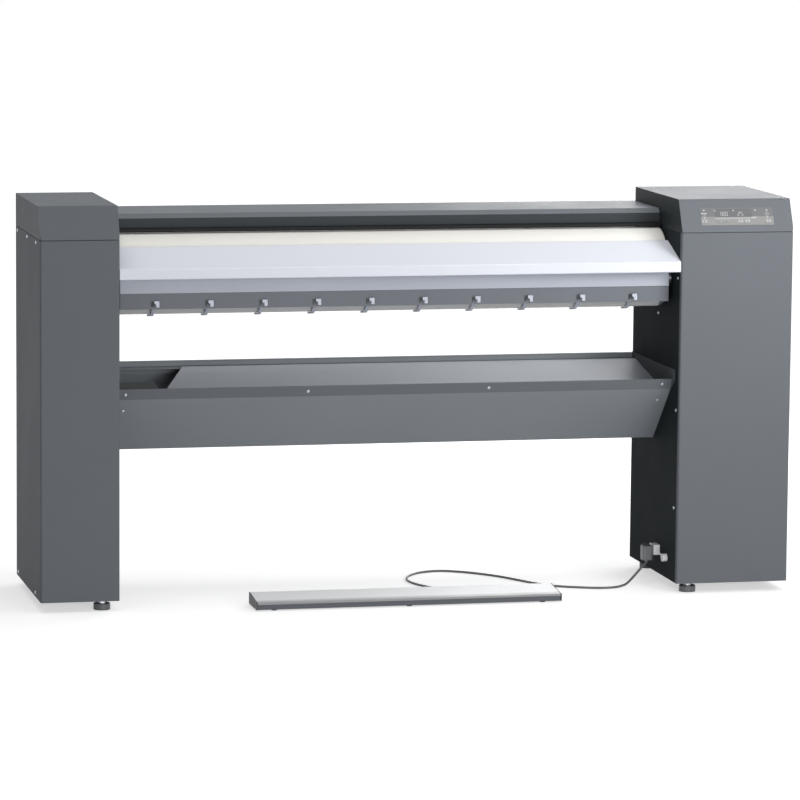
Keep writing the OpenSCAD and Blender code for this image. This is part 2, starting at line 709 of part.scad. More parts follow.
// Heated trough
lip_flare = 5;
lip_angle = 14;
lip_lap = 2;
trough_out_r = trough_r + trough_t;
end_plate_t = 6;
trough_in0 = trough_x0 + end_plate_t + seat_gap;
trough_in1 = trough_x1 - end_plate_t - seat_gap;
module trough_plate() color("#c9ccce") placed() along_x(trough_in0, trough_in1) {
    ring_part(trough_y, trough_z, trough_r, trough_out_r, -wrap_back, wrap_front);
    // Flared front lip that leads the laundry in
    polygon([
        round_point(trough_y, trough_z, trough_r + trough_t / 2, wrap_front - lip_lap),
        round_point(trough_y, trough_z, trough_r + merge_step, wrap_front),
        round_point(trough_y, trough_z, trough_r + lip_flare, wrap_front + lip_angle),
        round_point(trough_y, trough_z, trough_out_r + lip_flare, wrap_front + lip_angle),
        round_point(trough_y, trough_z, trough_out_r - merge_step, wrap_front)]);
}

// Sheet housing under the plate: its points from the trough's centre, as shares of the plate's
// outer radius
housing_t = 1.2;
housing_shares = [[-1.039, -0.174], [-1.039, -0.564], [-0.609, -0.984], [-0.27, -1.04],
    [0.242, -1.05], [0.621, -1.004], [1.014, -0.564], [1.014, -0.174]];
housing_path = [for (p = housing_shares) [trough_y, trough_z] + trough_out_r * p];
module trough_housing() color("#b9b6ab") placed()
    along_x(trough_in0, trough_in1) strip2d(housing_path, -housing_t);

cover_y = 70;
cover_rise = 17;
cover_fold_drop = 17;
cover_low_drop = 56.5;
cover_top_z = pivot_z + cover_rise;
cover_fold_z = pivot_z - cover_fold_drop;
cover_low_z = pivot_z - cover_low_drop;
cover_back = 22;
cover_joggle = 2;
cover_t = 1.5;
slot_w = 24;
slot_h = 15;
slot_shift = -3;
clamp_drop = 43.7;
clamp_z = pivot_z - clamp_drop;
function clamp_x(i) = middle_x + (i - (clamp_count - 1) / 2) * clamp_pitch;
module trough_front_cover() color("#6f767b") placed() difference() {
    along_x(trough_x0, trough_x1) strip2d([
        [cover_y + cover_back, cover_top_z], [cover_y + cover_joggle, cover_top_z],
        [cover_y, cover_fold_z], [cover_y + cover_joggle, cover_fold_z - cover_joggle],
        [cover_y + cover_joggle, cover_low_z], [cover_y + cover_back, cover_low_z]], cover_t);
    for (i = [0:clamp_count - 1])
        box(clamp_x(i) + slot_shift - slot_w / 2, clamp_x(i) + slot_shift + slot_w / 2,
            cover_y - cut, cover_y + cover_back / 2, clamp_z - slot_h / 2, clamp_z + slot_h / 2);
}

// End plates that close the trough and carry its pivots
element_r = 4.2;
element_at = trough_out_r + element_r + seat_gap;
element_angles = [30, 48, -30, -48, -66];
element_out = 6;
end_gap = 1;
end_front_y = cover_y + cover_joggle + cover_t + seat_gap;
end_low_z = cover_low_z + cover_t + seat_gap;
module end_plate_flat() difference() {
    union() {
        polygon(concat(
            [[end_front_y, cover_top_z - cover_t - seat_gap], [end_front_y, end_low_z],
            [cover_y + cover_back, end_low_z]],
            [for (i = [2:7]) housing_path[i]]));
        translate([pivot_y, pivot_z]) circle(r = pin_r + 2 * bush_wall);
    }
    translate([trough_y, trough_z]) circle(r = trough_r + end_gap);
    translate([pivot_y, pivot_z]) circle(r = pin_r);
    for (a = element_angles) translate(round_point(trough_y, trough_z, element_at, a))
        circle(r = element_r + seat_gap, $fn = small_fn);
}
module trough_end_plates() color("#565b5e") placed() both_walls()
    along_x(trough_x1 - end_plate_t, trough_x1) end_plate_flat();

module heating_elements() color("#9a8f80") placed() for (a = element_angles) {
    p = round_point(trough_y, trough_z, element_at, a);
    rod_x(trough_x0 - element_out, trough_x1 + element_out, p[0], p[1], element_r, small_fn);
}
insulation_t = 2;
module trough_insulation() color("#d9cf9f") placed()
    along_x(trough_in0, trough_in1)
        strip2d(side_path([for (i = [1:6]) housing_path[i]], seat_gap), insulation_t);

// Clamps: a notched head on the cover, a bent strap and a cross bar under the housing
head_w = 13;
head_h = 16;
head_out = 5;
notch_w = 5;
notch_h = 9;
strap_w = 8;
strap_r = 1.5;
strap_out = 2;
strap_drop = 45;
strap_low_shares = [-0.645, -1.035];
strap_end_shares = [-0.369, -1.071];
strap_knee = [cover_y + cover_back + strap_out, pivot_z - strap_drop];
strap_low = [trough_y, trough_z] + trough_out_r * strap_low_shares;
strap_end = [trough_y, trough_z] + trough_out_r * strap_end_shares;
bar_w = 16;
bar_half = 2.5;
module trough_clamp(x) {
    difference() {
        box(x - head_w / 2, x + head_w / 2, cover_y - head_out, cover_y - seat_gap,
            clamp_z - head_h / 2, clamp_z + head_h / 2);
        box(x - head_w, x - head_w / 2 + notch_w, cover_y - head_out - cut, cover_y + cut,
            clamp_z - head_h, clamp_z - head_h / 2 + notch_h);
    }
    along_x(x - strap_w / 2, x + strap_w / 2) {
        link2d([cover_y - head_out / 2, clamp_z], strap_knee, strap_r);
        link2d(strap_knee, strap_low, strap_r);
        link2d(strap_low, strap_end, strap_r);
    }
    along_x(x - bar_w / 2, x + bar_w / 2) translate(strap_end - [bar_half, bar_half])
        square(2 * bar_half);
}
module trough_clamps() color("#c3c7ca") placed()
    for (i = [0:clamp_count - 1]) trough_clamp(clamp_x(i));

// Hood over the roller, its beam and the finger guard at its front
hood_gap = 1;
hood_face_h = 35;
hood_low_z = hood_z - hood_face_h;
hood_bevel = 11;
hood_rear_h = 30;
hood_x0 = wall_l + hood_gap;
hood_x1 = wall_r - hood_gap;
guard_axis_in = 6;
guard_axis_rise = 8;
guard_axis_y = hood_y + guard_axis_in;
guard_axis_z = hood_low_z + guard_axis_rise;
guard_barrel_r = 3.5;
guard_pin_r = 2.5;
hood_path = rounded([
    [hood_y, hood_low_z], [hood_y, hood_z - hood_bevel], [hood_y + hood_bevel, hood_z],
    [column_d, hood_z], [column_d, hood_z - hood_rear_h]], 2 * hood_t, bend_n);
module hood() color("#4c5154") placed() {
    along_x(hood_x0, hood_x1) strip2d(hood_path, -hood_t);
    both_walls() difference() {
        along_x(hood_x1 - hood_t, hood_x1) polygon([
            [hood_y + hood_t, hood_low_z], [hood_y + hood_t, hood_z - hood_bevel],
            [hood_y + hood_bevel, hood_z - hood_t], [column_d - hood_t, hood_z - hood_t],
            [column_d - hood_t, hood_z - hood_rear_h], [roller_y + roller_r, hood_z - hood_rear_h],
            [hood_y + 2 * hood_bevel, hood_low_z]]);
        rod_x(hood_x1 - hood_t - cut, hood_x1 + cut, guard_axis_y, guard_axis_z,
            guard_pin_r + run_gap, small_fn);
        box(hood_x1 - hood_t - cut, hood_x1 + cut, beam_y - seat_gap, beam_y + beam_w + seat_gap,
            beam_z - seat_gap, hood_z - hood_t - seat_gap);
    }
}
beam_y = 403;
beam_w = 30;
beam_h = 36;
beam_t = 2.5;
beam_z = hood_z - hood_t - seat_gap - beam_h;
beam_foot_t = 4;
beam_foot_h = 60;
beam_foot_z = seam_z - beam_foot_h;
module hood_beam() color("#34383a") placed() {
    difference() {
        box(wall_l + beam_foot_t, wall_r - beam_foot_t, beam_y, beam_y + beam_w, beam_z,
            beam_z + beam_h);
        box(wall_l - cut, wall_r + cut, beam_y + beam_t, beam_y + beam_w - beam_t,
            beam_z + beam_t, beam_z + beam_h - beam_t);
    }
    both_walls() box(wall_r - beam_foot_t, wall_r, beam_y, beam_y + beam_w, beam_foot_z,
        beam_z + beam_h);
}
guard_nose_out = 19;
guard_nose_y = hood_y - guard_nose_out;
guard_h = 10;
guard_low_z = hood_low_z - guard_h;
guard_web_t = 5;
guard_gap = 1.5;
module finger_guard() color("#141516") placed() {
    along_x(wall_l + guard_gap, wall_r - guard_gap) {
        translate([guard_nose_y, guard_low_z]) round_rect(hood_y - guard_gap - guard_nose_y,
            guard_h - seat_gap, guard_h / 3);
        translate([hood_y - 2 * guard_gap, guard_low_z])
            square([guard_axis_y + guard_barrel_r - hood_y + 2 * guard_gap, guard_web_t]);
    }
    along_x(hood_x0 + hood_t + seat_gap, hood_x1 - hood_t - seat_gap) {
        translate([guard_axis_y, guard_axis_z]) circle(r = guard_barrel_r, $fn = small_fn);
        translate([guard_axis_y - guard_web_t / 2, guard_low_z])
            square([guard_web_t, guard_axis_z - guard_low_z]);
    }
    rod_x(hood_x0, hood_x1, guard_axis_y, guard_axis_z, guard_pin_r, small_fn);
}

// Feed table: lip, crease, slope and a round guide down beside the roller
table_front = 3;
table_rear_gap = 4;
table_guide_low = 88;
lip_return = 12;
table_rear_r = roller_r + table_rear_gap + table_t;
table_rear_angle = 131;
table_rear = round_point(roller_y, roller_z, table_rear_r, table_rear_angle);
table_path = rounded([[table_front + lip_return, table_z - lip_h],
    [table_front, table_z - lip_h], [table_front, table_z], table_rear], 2 * table_t, bend_n);
table_gap = 0.5;
module feed_table() color("#d5dade") placed() {
    along_x(wall_l + table_gap, wall_r - table_gap) {
        strip2d(table_path, -table_t);
        ring_part(roller_y, roller_z, table_rear_r - table_t, table_rear_r, table_guide_low,
            table_rear_angle);
    }
    // End flanges, screwed to the frame plates
    both_walls() along_x(wall_r - table_gap - table_t, wall_r - table_gap) polygon([
        [table_front + table_t, table_z - lip_h + table_t], [table_front + table_t, table_z - table_t],
        [table_rear[0] - table_t, table_rear[1] - 2 * table_t],
        [table_rear[0] - lip_h, table_rear[1] - 1.6 * lip_h],
        [table_front + lip_return + lip_h, table_z - lip_h + table_t]]);
}

// Laundry tray: a hopper of folded sheets between the columns
tray_gap = 0.5;
tray_front_y = 62;
tray_front_drop = 25;
tray_fold_in = 15;
tray_fold_drop = 52;
tray_front_z = tray_z - tray_front_drop;
tray_fold = [tray_front_y + tray_fold_in, tray_z - tray_fold_drop];
tray_low_y = 231;
tray_low_w = 16;
tray_hem = 8;
tray_x0 = wall_l + tray_gap + tray_t;
tray_x1 = wall_r - tray_gap - tray_t;
tray_front_path = [
    [tray_front_y + tray_hem, tray_front_z], [tray_front_y, tray_front_z], tray_fold,
    [tray_low_y, tray_bottom_z + tray_t], [tray_low_y + tray_low_w, tray_bottom_z + tray_t]];
module tray_front_panel() color("#6c7276") placed()
    along_x(tray_x0, tray_x1) strip2d(tray_front_path, tray_t);
tray_back_h = 34;
tray_back_bend_z = tray_z - tray_back_h;
shelf_front_y = 240;
shelf_front_drop = 43;
shelf_back_y = 404;
shelf_back_drop = 13;
shelf_front = [shelf_front_y, tray_z - shelf_front_drop];
shelf_back = [shelf_back_y, tray_z - shelf_back_drop];
tray_back_path = [
    [tray_low_y + tray_low_w + seat_gap + tray_t, tray_bottom_z + tray_t],
    [column_d - tray_t, tray_back_bend_z], [column_d - tray_t, tray_z],
    [column_d - tray_t - tray_hem, tray_z]];
module tray_back_panel() color("#5d6367") placed() {
    along_x(tray_x0, tray_x1) strip2d(tray_back_path, tray_t);
    // Ledge that carries the deposit plate's rear edge
    along_x(tray_x0, tray_x1) strip2d([
        [shelf_back[0] - tray_hem, shelf_back[1] - tray_t - tray_t],
        [column_d - 2 * tray_t, shelf_back[1] - tray_t]], -tray_t);
}
end_rise = 1;
end_top_z = tray_z + end_rise;
lug_w = 22;
module tray_end_flat() polygon([
    [tray_front_y - lug_w, end_top_z], [column_d - seat_gap, end_top_z],
    [column_d - seat_gap, tray_back_bend_z - tray_t],
    [tray_low_y + tray_low_w + 3 * tray_t, tray_bottom_z],
    [tray_low_y, tray_bottom_z], tray_fold - [tray_t, 0], [tray_front_y - lug_w, tray_front_z]]);
ledge_w = 134;
ledge_y0 = 193;
ledge_y1 = 288;
function shelf_z(y) = shelf_front[1]
    + (y - shelf_front[0]) * (shelf_back[1] - shelf_front[1]) / (shelf_back[0] - shelf_front[0]);
module tray_end_plates() color("#53585b") placed() {
    both_walls() along_x(wall_r - tray_gap - tray_t, wall_r - tray_gap) tray_end_flat();
    // Left ledge, in line with the deposit plate
    along_x(wall_l + tray_gap, wall_l + ledge_w) strip2d([
        [ledge_y0, shelf_z(ledge_y0) - tray_t], [ledge_y1, shelf_z(ledge_y1) - tray_t]], -tray_t);
}
plate_edge_in = 150;
plate_edge_run = 75;
plate_edge_x0 = wall_l + plate_edge_in;
plate_edge_x1 = plate_edge_x0 + plate_edge_run;
plate_front_y = 215;
deposit_t = 1.2;
deposit_fold = 12;
module deposit_plate() color("#aab1b6") placed() {
    intersection() {
        along_x(wall_l, tray_x1 - seat_gap) strip2d([
            [plate_front_y, shelf_z(plate_front_y) - deposit_fold],
            [plate_front_y, shelf_z(plate_front_y)], shelf_back], -deposit_t);
        translate([0, 0, tray_bottom_z]) linear_extrude(tray_z) polygon([
            [plate_edge_x0, plate_front_y - cut], [plate_edge_x1, shelf_back[0] + cut],
            [wall_r, shelf_back[0] + cut], [wall_r, plate_front_y - cut]]);
    }
}

// Visible screw heads on the left column's side, the inner walls and the tray
screw_r = 4;
screw_h = 2.4;
side_screw_shares = [0.16, 0.511, 0.911];
side_low_shares = [0.205, 0.911];
wall_screw_shares = [[0.066, 0.874], [0.066, 0.508], [0.073, 0.2355], [0.457, 0.758]];
tray_screw_shares = [0.34, 0.665];
screw_edge = 9;
screw_low_rise = 12;
corner_screw_in = 25;
low_screw_share = 0.22;
module head_x(x, y, z, side) translate([x, y, z]) rotate([0, side * 90, 0]) {
    cylinder(h = screw_h / 2, r = screw_r, $fn = small_fn);
    translate([0, 0, screw_h / 2]) cylinder(h = screw_h / 2, r1 = screw_r, r2 = screw_r * 0.7,
        $fn = small_fn);
}
// Screw head on a tray face that runs from a to b in (y, z)
module head_between(x, a, b, share) {
    dir = unit(b - a);
    p = a + share * (b - a);
    translate([x, p[0], p[1]]) rotate([90 + atan2(dir[0], -dir[1]), 0, 0])
        cylinder(h = screw_h, r = screw_r, $fn = small_fn);
}
module head_on_band(x) head_between(x, [tray_front_y, tray_front_z], tray_fold, 0.5);
module panel_screws() color("#d9dcde") placed() {
    for (s = side_screw_shares) head_x(0, s * column_d, seam_z - screw_edge, -1);
    for (s = side_low_shares) head_x(0, s * column_d, foot_gap + screw_low_rise, -1);
    for (s = side_screw_shares) head_x(total_w, s * column_d, seam_z - screw_edge, 1);
    for (s = side_low_shares) head_x(total_w, s * column_d, foot_gap + screw_low_rise, 1);
    both_walls() for (s = wall_screw_shares) head_x(wall_r, s[0] * column_d, s[1] * seam_z, -1);
    for (s = tray_screw_shares) head_on_band(wall_l + work_w * s);
    both_walls() {
        head_on_band(wall_r - corner_screw_in);
        head_between(wall_r - corner_screw_in, tray_fold, [tray_low_y, tray_bottom_z + tray_t],
            low_screw_share);
    }
}

// Electrics inside the right column and the mains gland at its back
box_w = 110;
box_d = 250;
box_h = 270;
box_y = 80;
box_z = 150;
box_rib = 6;
box_wall = 1.5;
module electrics_box() color("#c5c8ca") placed() {
    x1 = total_w - sheet_t - seat_gap;
    difference() {
        box(x1 - box_w, x1, box_y, box_y + box_d, box_z, box_z + box_h);
        box(x1 - box_w + box_wall, x1 + cut, box_y + box_wall, box_y + box_d - box_wall,
            box_z + box_wall, box_z + box_h - box_wall);
    }
    for (i = [1:4]) box(x1 - box_w - box_rib, x1 - box_w, box_y + box_d * i / 5 - box_rib / 2,
        box_y + box_d * i / 5 + box_rib / 2, box_z + box_h * 0.1, box_z + box_h * 0.9);
}
gland_nut_r = 14;
gland_bore_r = 6;
module cable_gland() color("#26282a") placed()
    translate([wall_r + gland_in, column_d, gland_z]) rotate([-90, 0, 0]) difference() {
        union() {
            cylinder(h = gland_len / 2, r = gland_nut_r, $fn = 6);
            translate([0, 0, gland_len / 2]) cylinder(h = gland_len / 2, r1 = gland_nut_r * 0.8,
                r2 = gland_r * 0.8);
            translate([0, 0, -gland_len / 2]) cylinder(h = gland_len / 2, r = gland_r - seat_gap);
            translate([0, 0, -gland_len / 2 - sheet_t]) cylinder(h = gland_len / 2 - seat_gap,
                r = gland_nut_r, $fn = 6);
        }
        translate([0, 0, -gland_len]) cylinder(h = 3 * gland_len, r = gland_bore_r);
    }

// Foot bar socket on the right inner wall, with the plug in it and its dust cap on a strap
socket_y = 175;
socket_z = 87;
socket_hole_r = 9;
socket_out = 16;
socket_half_d = 20;
socket_half_h = 13;
socket_bore_r = 8;
module foot_socket() color("#e9ebec") placed() difference() {
    union() {
        box(wall_r - socket_out, wall_r, socket_y - socket_half_d, socket_y + socket_half_d,
            socket_z - socket_half_h, socket_z + socket_half_h);
        rod_x(wall_r, wall_r + plate_t + bolt_r, socket_y, socket_z, socket_hole_r - seat_gap,
            small_fn);
    }
    rod_x(wall_r - socket_out - cut, wall_r - seat_gap, socket_y, socket_z, socket_bore_r);
}
plug_l = 26;
plug_half_d = 15;
plug_z0 = 60;
plug_z1 = 96;
plug_r = 4;
relief_l = 5;
relief_r = 6;
plug_x = wall_r - socket_out - seat_gap;
cord_exit_z = plug_z0 - relief_l;
module foot_plug() color("#3b3f41") placed() {
    translate([plug_x - plug_l, socket_y - plug_half_d, plug_z0])
        linear_extrude(plug_z1 - plug_z0) round_rect(plug_l, 2 * plug_half_d, plug_r);
    rod_x(plug_x, wall_r - 2 * seat_gap - cut, socket_y, socket_z, socket_bore_r - seat_gap);
    translate([plug_x - plug_l / 2, socket_y, cord_exit_z])
        cylinder(h = relief_l, r1 = cord_r + cut, r2 = relief_r, $fn = small_fn);
}
cap_y = 92;
cap_z = 78;
cap_r = 10;
cap_l = 13;
strap_t = 2;
strap_h = 5;
module socket_cap() color("#f0f1f2") placed() {
    rod_x(wall_r - cap_l, wall_r - seat_gap, cap_y, cap_z, cap_r);
    box(wall_r - seat_gap - strap_t, wall_r - seat_gap, cap_y, socket_y - socket_half_d - seat_gap,
        cap_z - strap_h / 2, cap_z + strap_h / 2);
}

// Foot bar on the floor: base channel, sprung tread, end caps, feet, springs and switches
bar_shift = 6.5;
bar_x0 = middle_x + bar_shift - bar_l / 2;
bar_x1 = bar_x0 + bar_l;
bar_y0 = -bar_reach;
bar_y1 = bar_y0 + bar_d;
bar_wall = 2;
bar_foot_h = 3;
bar_foot_r = 7;
bar_foot_in = 46;
tread_t = 2;
tread_lip = 3;
tread_gap = 0.8;
tread_travel = 3.5;
hinge_r = 3;
hinge_lug = 0.6;
hinge_y = bar_y1 - 2 * hinge_r - bar_wall;
hinge_z = bar_back_h - tread_t - hinge_r - seat_gap;
cap_t = 3;
base_x0 = bar_x0 + cap_t;
base_x1 = bar_x1 - cap_t;
front_wall_z = bar_front_h - tread_t - tread_travel - seat_gap;
module foot_bar_base() color("#33373a") placed() {
    difference() {
        along_x(base_x0, base_x1) strip2d([
            [bar_y0 + bar_wall + tread_gap, front_wall_z], [bar_y0 + bar_wall + tread_gap, bar_foot_h],
            [bar_y1, bar_foot_h], [bar_y1, bar_back_h - tread_t - 2 * seat_gap]], bar_wall);
        translate([bar_cord_x, bar_y1 + cut, bar_cord_z]) rotate([90, 0, 0])
            cylinder(h = bar_wall + 2 * cut, r = cord_r + run_gap, $fn = small_fn);
    }
    // Hinge saddles for the tread, let into the channel
    for (s = [0.1, 0.5, 0.9]) translate([base_x0 + s * (base_x1 - base_x0), 0, 0]) difference() {
        box(-bar_foot_r, bar_foot_r, hinge_y - 2 * hinge_r, bar_y1 - bar_wall, bar_foot_h + bar_wall,
            hinge_z);
        rod_x(-2 * bar_foot_r, 2 * bar_foot_r, hinge_y, hinge_z, hinge_r + run_gap);
    }
}
module foot_tread() color("#e6e9ee") placed() {
    along_x(base_x0 + seat_gap, base_x1 - seat_gap) strip2d([
        [bar_y0, bar_front_h - tread_t - tread_lip], [bar_y0, bar_front_h],
        [bar_y1, bar_back_h]], -tread_t);
    // Hinge barrels under the rear edge
    for (s = [0.1, 0.5, 0.9]) translate([base_x0 + s * (base_x1 - base_x0), 0, 0]) {
        rod_x(-bar_foot_r / 2, bar_foot_r / 2, hinge_y, hinge_z, hinge_r);
        box(-bar_foot_r / 2, bar_foot_r / 2, hinge_y - hinge_r / 2, hinge_y + hinge_r / 2,
            hinge_z, hinge_z + hinge_r + hinge_lug);
    }
}
module end_cap_flat() polygon([
    [bar_y0, bar_foot_h], [bar_y1, bar_foot_h], [bar_y1, bar_back_h], [bar_y0, bar_front_h]]);
module foot_bar_end_caps() color("#1f2224") placed() {
    along_x(bar_x0, base_x0) end_cap_flat();
    along_x(base_x1, bar_x1) end_cap_flat();
}
foot_shares = [0.06, 0.5, 0.94];
module foot_bar_feet() color("#1c1d1e") placed()
    for (s = foot_shares, y = [bar_y0 + 2 * bar_foot_r, bar_y1 - 2 * bar_foot_r])
        translate([bar_x0 + s * bar_l, y, 0]) cylinder(h = bar_foot_h, r = bar_foot_r, $fn = small_fn);
spring_shares = [0.14, 0.38, 0.62, 0.86];
spring_r = 4;
spring_wire = 0.9;
spring_in = 26;
spring_y = bar_y0 + spring_in;
spring_turns = 3;
spring_n = 8;
spring_z0 = bar_foot_h + bar_wall;
function tread_under(y) = bar_front_h + (bar_back_h - bar_front_h) * (y - bar_y0) / bar_d - tread_t;
// Helical spring as one swept tube
function ring_points(c, n, b, r, m) =
    [for (j = [0:m - 1]) c + r * (cos(j * 360 / m) * n + sin(j * 360 / m) * b)];
function tube_faces(k, m) = concat([[for (j = [m - 1:-1:0]) j]],
    [for (i = [0:k - 2], j = [0:m - 1]) each [
        [i * m + j, i * m + (j + 1) % m, (i + 1) * m + j],
        [i * m + (j + 1) % m, (i + 1) * m + (j + 1) % m, (i + 1) * m + j]]],
    [[for (j = [0:m - 1]) (k - 1) * m + j]]);
spring_side_count = 6;
module coil_spring(h) {
    steps = spring_turns * spring_n;
    rings = [for (i = [0:steps]) let (a = i * 360 / spring_n)
        ring_points([spring_r * cos(a), spring_r * sin(a), spring_wire + (h - 2 * spring_wire) * i / steps],
            [cos(a), sin(a), 0], [0, 0, 1], spring_wire, spring_side_count)];
    polyhedron([for (r = rings) each r], tube_faces(len(rings), spring_side_count));
}
module foot_bar_springs() color("#b9bdbf") placed() for (s = spring_shares)
    translate([bar_x0 + s * bar_l, spring_y, spring_z0 + seat_gap / 2])
        coil_spring(tread_under(spring_y - spring_r) - spring_z0 - 2 * seat_gap);
switch_shares = [0.3, 0.7];
switch_w = 20;
switch_d = 10;
guard_switch_y = hood_y + 10;
module micro_switches() color("#222527") placed() {
    for (s = switch_shares) translate([bar_x0 + s * bar_l, 0, 0])
        box(-switch_w / 2, switch_w / 2, spring_y - switch_d / 2, spring_y + switch_d / 2, spring_z0,
            tread_under(spring_y - switch_d / 2) - tread_travel - seat_gap);
    // One at each end of the hood, behind the finger guard's hinge
    both_walls() box(hood_x1 - hood_t - switch_w, hood_x1 - hood_t, guard_switch_y,
        guard_switch_y + switch_d, guard_axis_z - switch_d / 2, guard_axis_z + switch_d / 2);
}

// Cord of the foot bar: route points chosen by hand, swept by a smooth curve
bar_cord_x = 1086;
bar_cord_z = 14;
cord_route = [
    [1585.7, 175, 55], [1584.6, 174.8, 50.8], [1575, 171.5, 43.5], [1563.9, 167, 33.5],
    [1543.2, 152, 18], [1523.3, 134, 6.8], [1506, 120, 3.6], [1480, 102, 3.2],
    [1440, 100, 3.2], [1390, 118, 3.2],
    [1340, 145, 3.2], [1300, 190, 3.2], [1266, 250, 3.2], [1234, 306, 3.2], [1196, 354, 3.2],
    [1150, 396, 3.2], [1098, 420, 3.2], [1044, 404, 3.2], [1004, 358, 3.2], [986, 300, 3.2],
    [992, 244, 3.2], [1014, 192, 3.2], [1044, 146, 3.2], [1070, 106, 3.5], [1082, 76, 6],
    [1086, 54, 11], [1086, 36, 14]];
cord_sides = 8;
cord_sub = 3;
function cord_at(i) = cord_route[max(0, min(len(cord_route) - 1, i))];
function cord_curve(i, t) = let (a = cord_at(i - 1), b = cord_at(i), c = cord_at(i + 1),
    d = cord_at(i + 2)) b + t * (c - a) / 2 + t * t * (a - 2.5 * b + 2 * c - 0.5 * d)
    + t * t * t * (1.5 * (b - c) + 0.5 * (d - a));
cord_line = concat([for (i = [0:len(cord_route) - 2], k = [0:cord_sub - 1])
    cord_curve(i, k / cord_sub)], [cord_route[len(cord_route) - 1]]);
function cord_dir(i) = unit(cord_line[min(i + 1, len(cord_line) - 1)] - cord_line[max(i - 1, 0)]);
// Side vector carried from ring to ring without twist
cord_normals = [for (i = 0, n = [0, 1, 0]; i < len(cord_line);
    i = i + 1, n = i < len(cord_line) ? unit(n - (n * cord_dir(i)) * cord_dir(i)) : n) n];
module foot_cord() color("#2b2c2d") placed() polyhedron(
    [for (i = [0:len(cord_line) - 1]) each ring_points(cord_line[i], cord_normals[i],
        cross(cord_dir(i), cord_normals[i]), cord_r, cord_sides)],
    tube_faces(len(cord_line), cord_sides));
cord_steps = [for (i = [1:len(cord_line) - 1]) norm(cord_line[i] - cord_line[i - 1])];
echo(cord_length = cord_steps * [for (s = cord_steps) 1]);

left_frame_plate();
right_frame_plate();
left_casing();
right_casing();
back_panels();
left_cap();
right_cap();
base_frames();
foot_stems();
foot_pads();
hood();
hood_beam();
finger_guard();
feed_table();
roller_bearings();
plain_bushes();
drive_gear_motor();
motor_pulley();
drive_belt();
lift_gear_motor();
lift_shaft();
lift_arms();
roller_tube();
roller_ends();
roller_padding();
roller_cloth();
roller_pulley();
trough_plate();
trough_housing();
trough_front_cover();
trough_end_plates();
trough_clamps();
heating_elements();
trough_insulation();
tray_front_panel();
tray_back_panel();
tray_end_plates();
deposit_plate();
panel_screws();
control_panel();
display_window();
control_board();
key_start();
key_temp_down();
key_temp_up();
key_speed_down();
key_speed_up();
key_power();
electrics_box();
cable_gland();
foot_socket();
socket_cap();
foot_bar_base();
foot_tread();
foot_bar_end_caps();
foot_bar_feet();
foot_bar_springs();
micro_switches();
foot_cord();
foot_plug();
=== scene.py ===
"""Flatwork ironer: finishes, cloth, cord, clamps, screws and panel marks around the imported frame."""

import math

import bmesh
import bpy
from mathutils import Matrix, Vector


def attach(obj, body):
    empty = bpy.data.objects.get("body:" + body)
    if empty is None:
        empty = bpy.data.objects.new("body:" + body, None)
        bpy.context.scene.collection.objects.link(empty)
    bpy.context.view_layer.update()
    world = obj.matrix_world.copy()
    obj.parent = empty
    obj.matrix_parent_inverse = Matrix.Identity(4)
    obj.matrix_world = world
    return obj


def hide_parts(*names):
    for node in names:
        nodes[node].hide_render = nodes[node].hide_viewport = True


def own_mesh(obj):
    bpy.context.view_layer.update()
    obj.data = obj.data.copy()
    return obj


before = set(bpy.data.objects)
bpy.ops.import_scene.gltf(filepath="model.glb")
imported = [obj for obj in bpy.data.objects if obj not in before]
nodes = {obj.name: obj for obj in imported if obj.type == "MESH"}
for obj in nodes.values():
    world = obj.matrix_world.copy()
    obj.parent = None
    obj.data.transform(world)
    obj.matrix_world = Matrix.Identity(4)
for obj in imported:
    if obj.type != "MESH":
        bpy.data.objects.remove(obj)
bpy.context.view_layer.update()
scene = bpy.context.scene

MM = 0.001
# Machine measures as in the part's source, in mm: x from the left column's outer face,
# y from the columns' front, z from the floor
MIDDLE_X, MIDDLE_Y = 953.0, 194.0
WALL_L, WALL_R = 195.0, 1615.0
WORK_W = WALL_R - WALL_L
TOTAL_W, COLUMN_D = 1906.0, 438.0
FOOT_GAP, SEAM_Z, GROOVE_H = 25.0, 913.0, 2.0
CAP_SLANT, CAP_RISE, CAP_LIP = 37.5, 76.0, 6.0
TABLE_Z, HOOD_Z, HOOD_BEVEL = 841.0, 959.0, 11.0
ROLLER_X0, ROLLER_X1 = 198.0, 1612.0
ROLLER_Y, ROLLER_Z, ROLLER_R = 200.0, 820.0, 92.0
CLOTH_T, FELT_T = 2.0, 8.0
PIVOT_Y, PIVOT_Z, OPEN_ANGLE = 102.0, 792.0, math.radians(2.9)
# The trough's centre at rest, turned open about its pivot
TROUGH_Y = (PIVOT_Y + (ROLLER_Y - PIVOT_Y) * math.cos(OPEN_ANGLE)
            + (ROLLER_Z - PIVOT_Z) * math.sin(OPEN_ANGLE))
TROUGH_Z = (PIVOT_Z + (ROLLER_Z - PIVOT_Z) * math.cos(OPEN_ANGLE)
            - (ROLLER_Y - PIVOT_Y) * math.sin(OPEN_ANGLE))
PLATE_OUT_R = 97.6
COVER_Y, COVER_FOLD_Z = 70.0, PIVOT_Z - 17
# The tray's front panel in (y, z): its upper edge, its fold and its foot
TRAY_Z = 564.0
TRAY_FRONT = (62.0, TRAY_Z - 25)
TRAY_FOLD = (77.0, TRAY_Z - 52)
TRAY_FOOT = (231.0, 367.5)
BAR_X0, BAR_L, BAR_Y0 = 572.0, 775.0, -66.0
PLUG_X, PLUG_Y, PLUG_TOP = WALL_R - 29.0, 175.0, 96.0
PANEL_X, PANEL_W, PANEL_V = WALL_R + 52.0, 190.0, 14.0
SLANT = math.atan(CAP_SLANT / CAP_RISE)


def at(x, y, z):
    """Machine measures in mm as a point of the shared frame in metres."""
    return Vector(((x - MIDDLE_X) * MM, (y - MIDDLE_Y) * MM, z * MM))


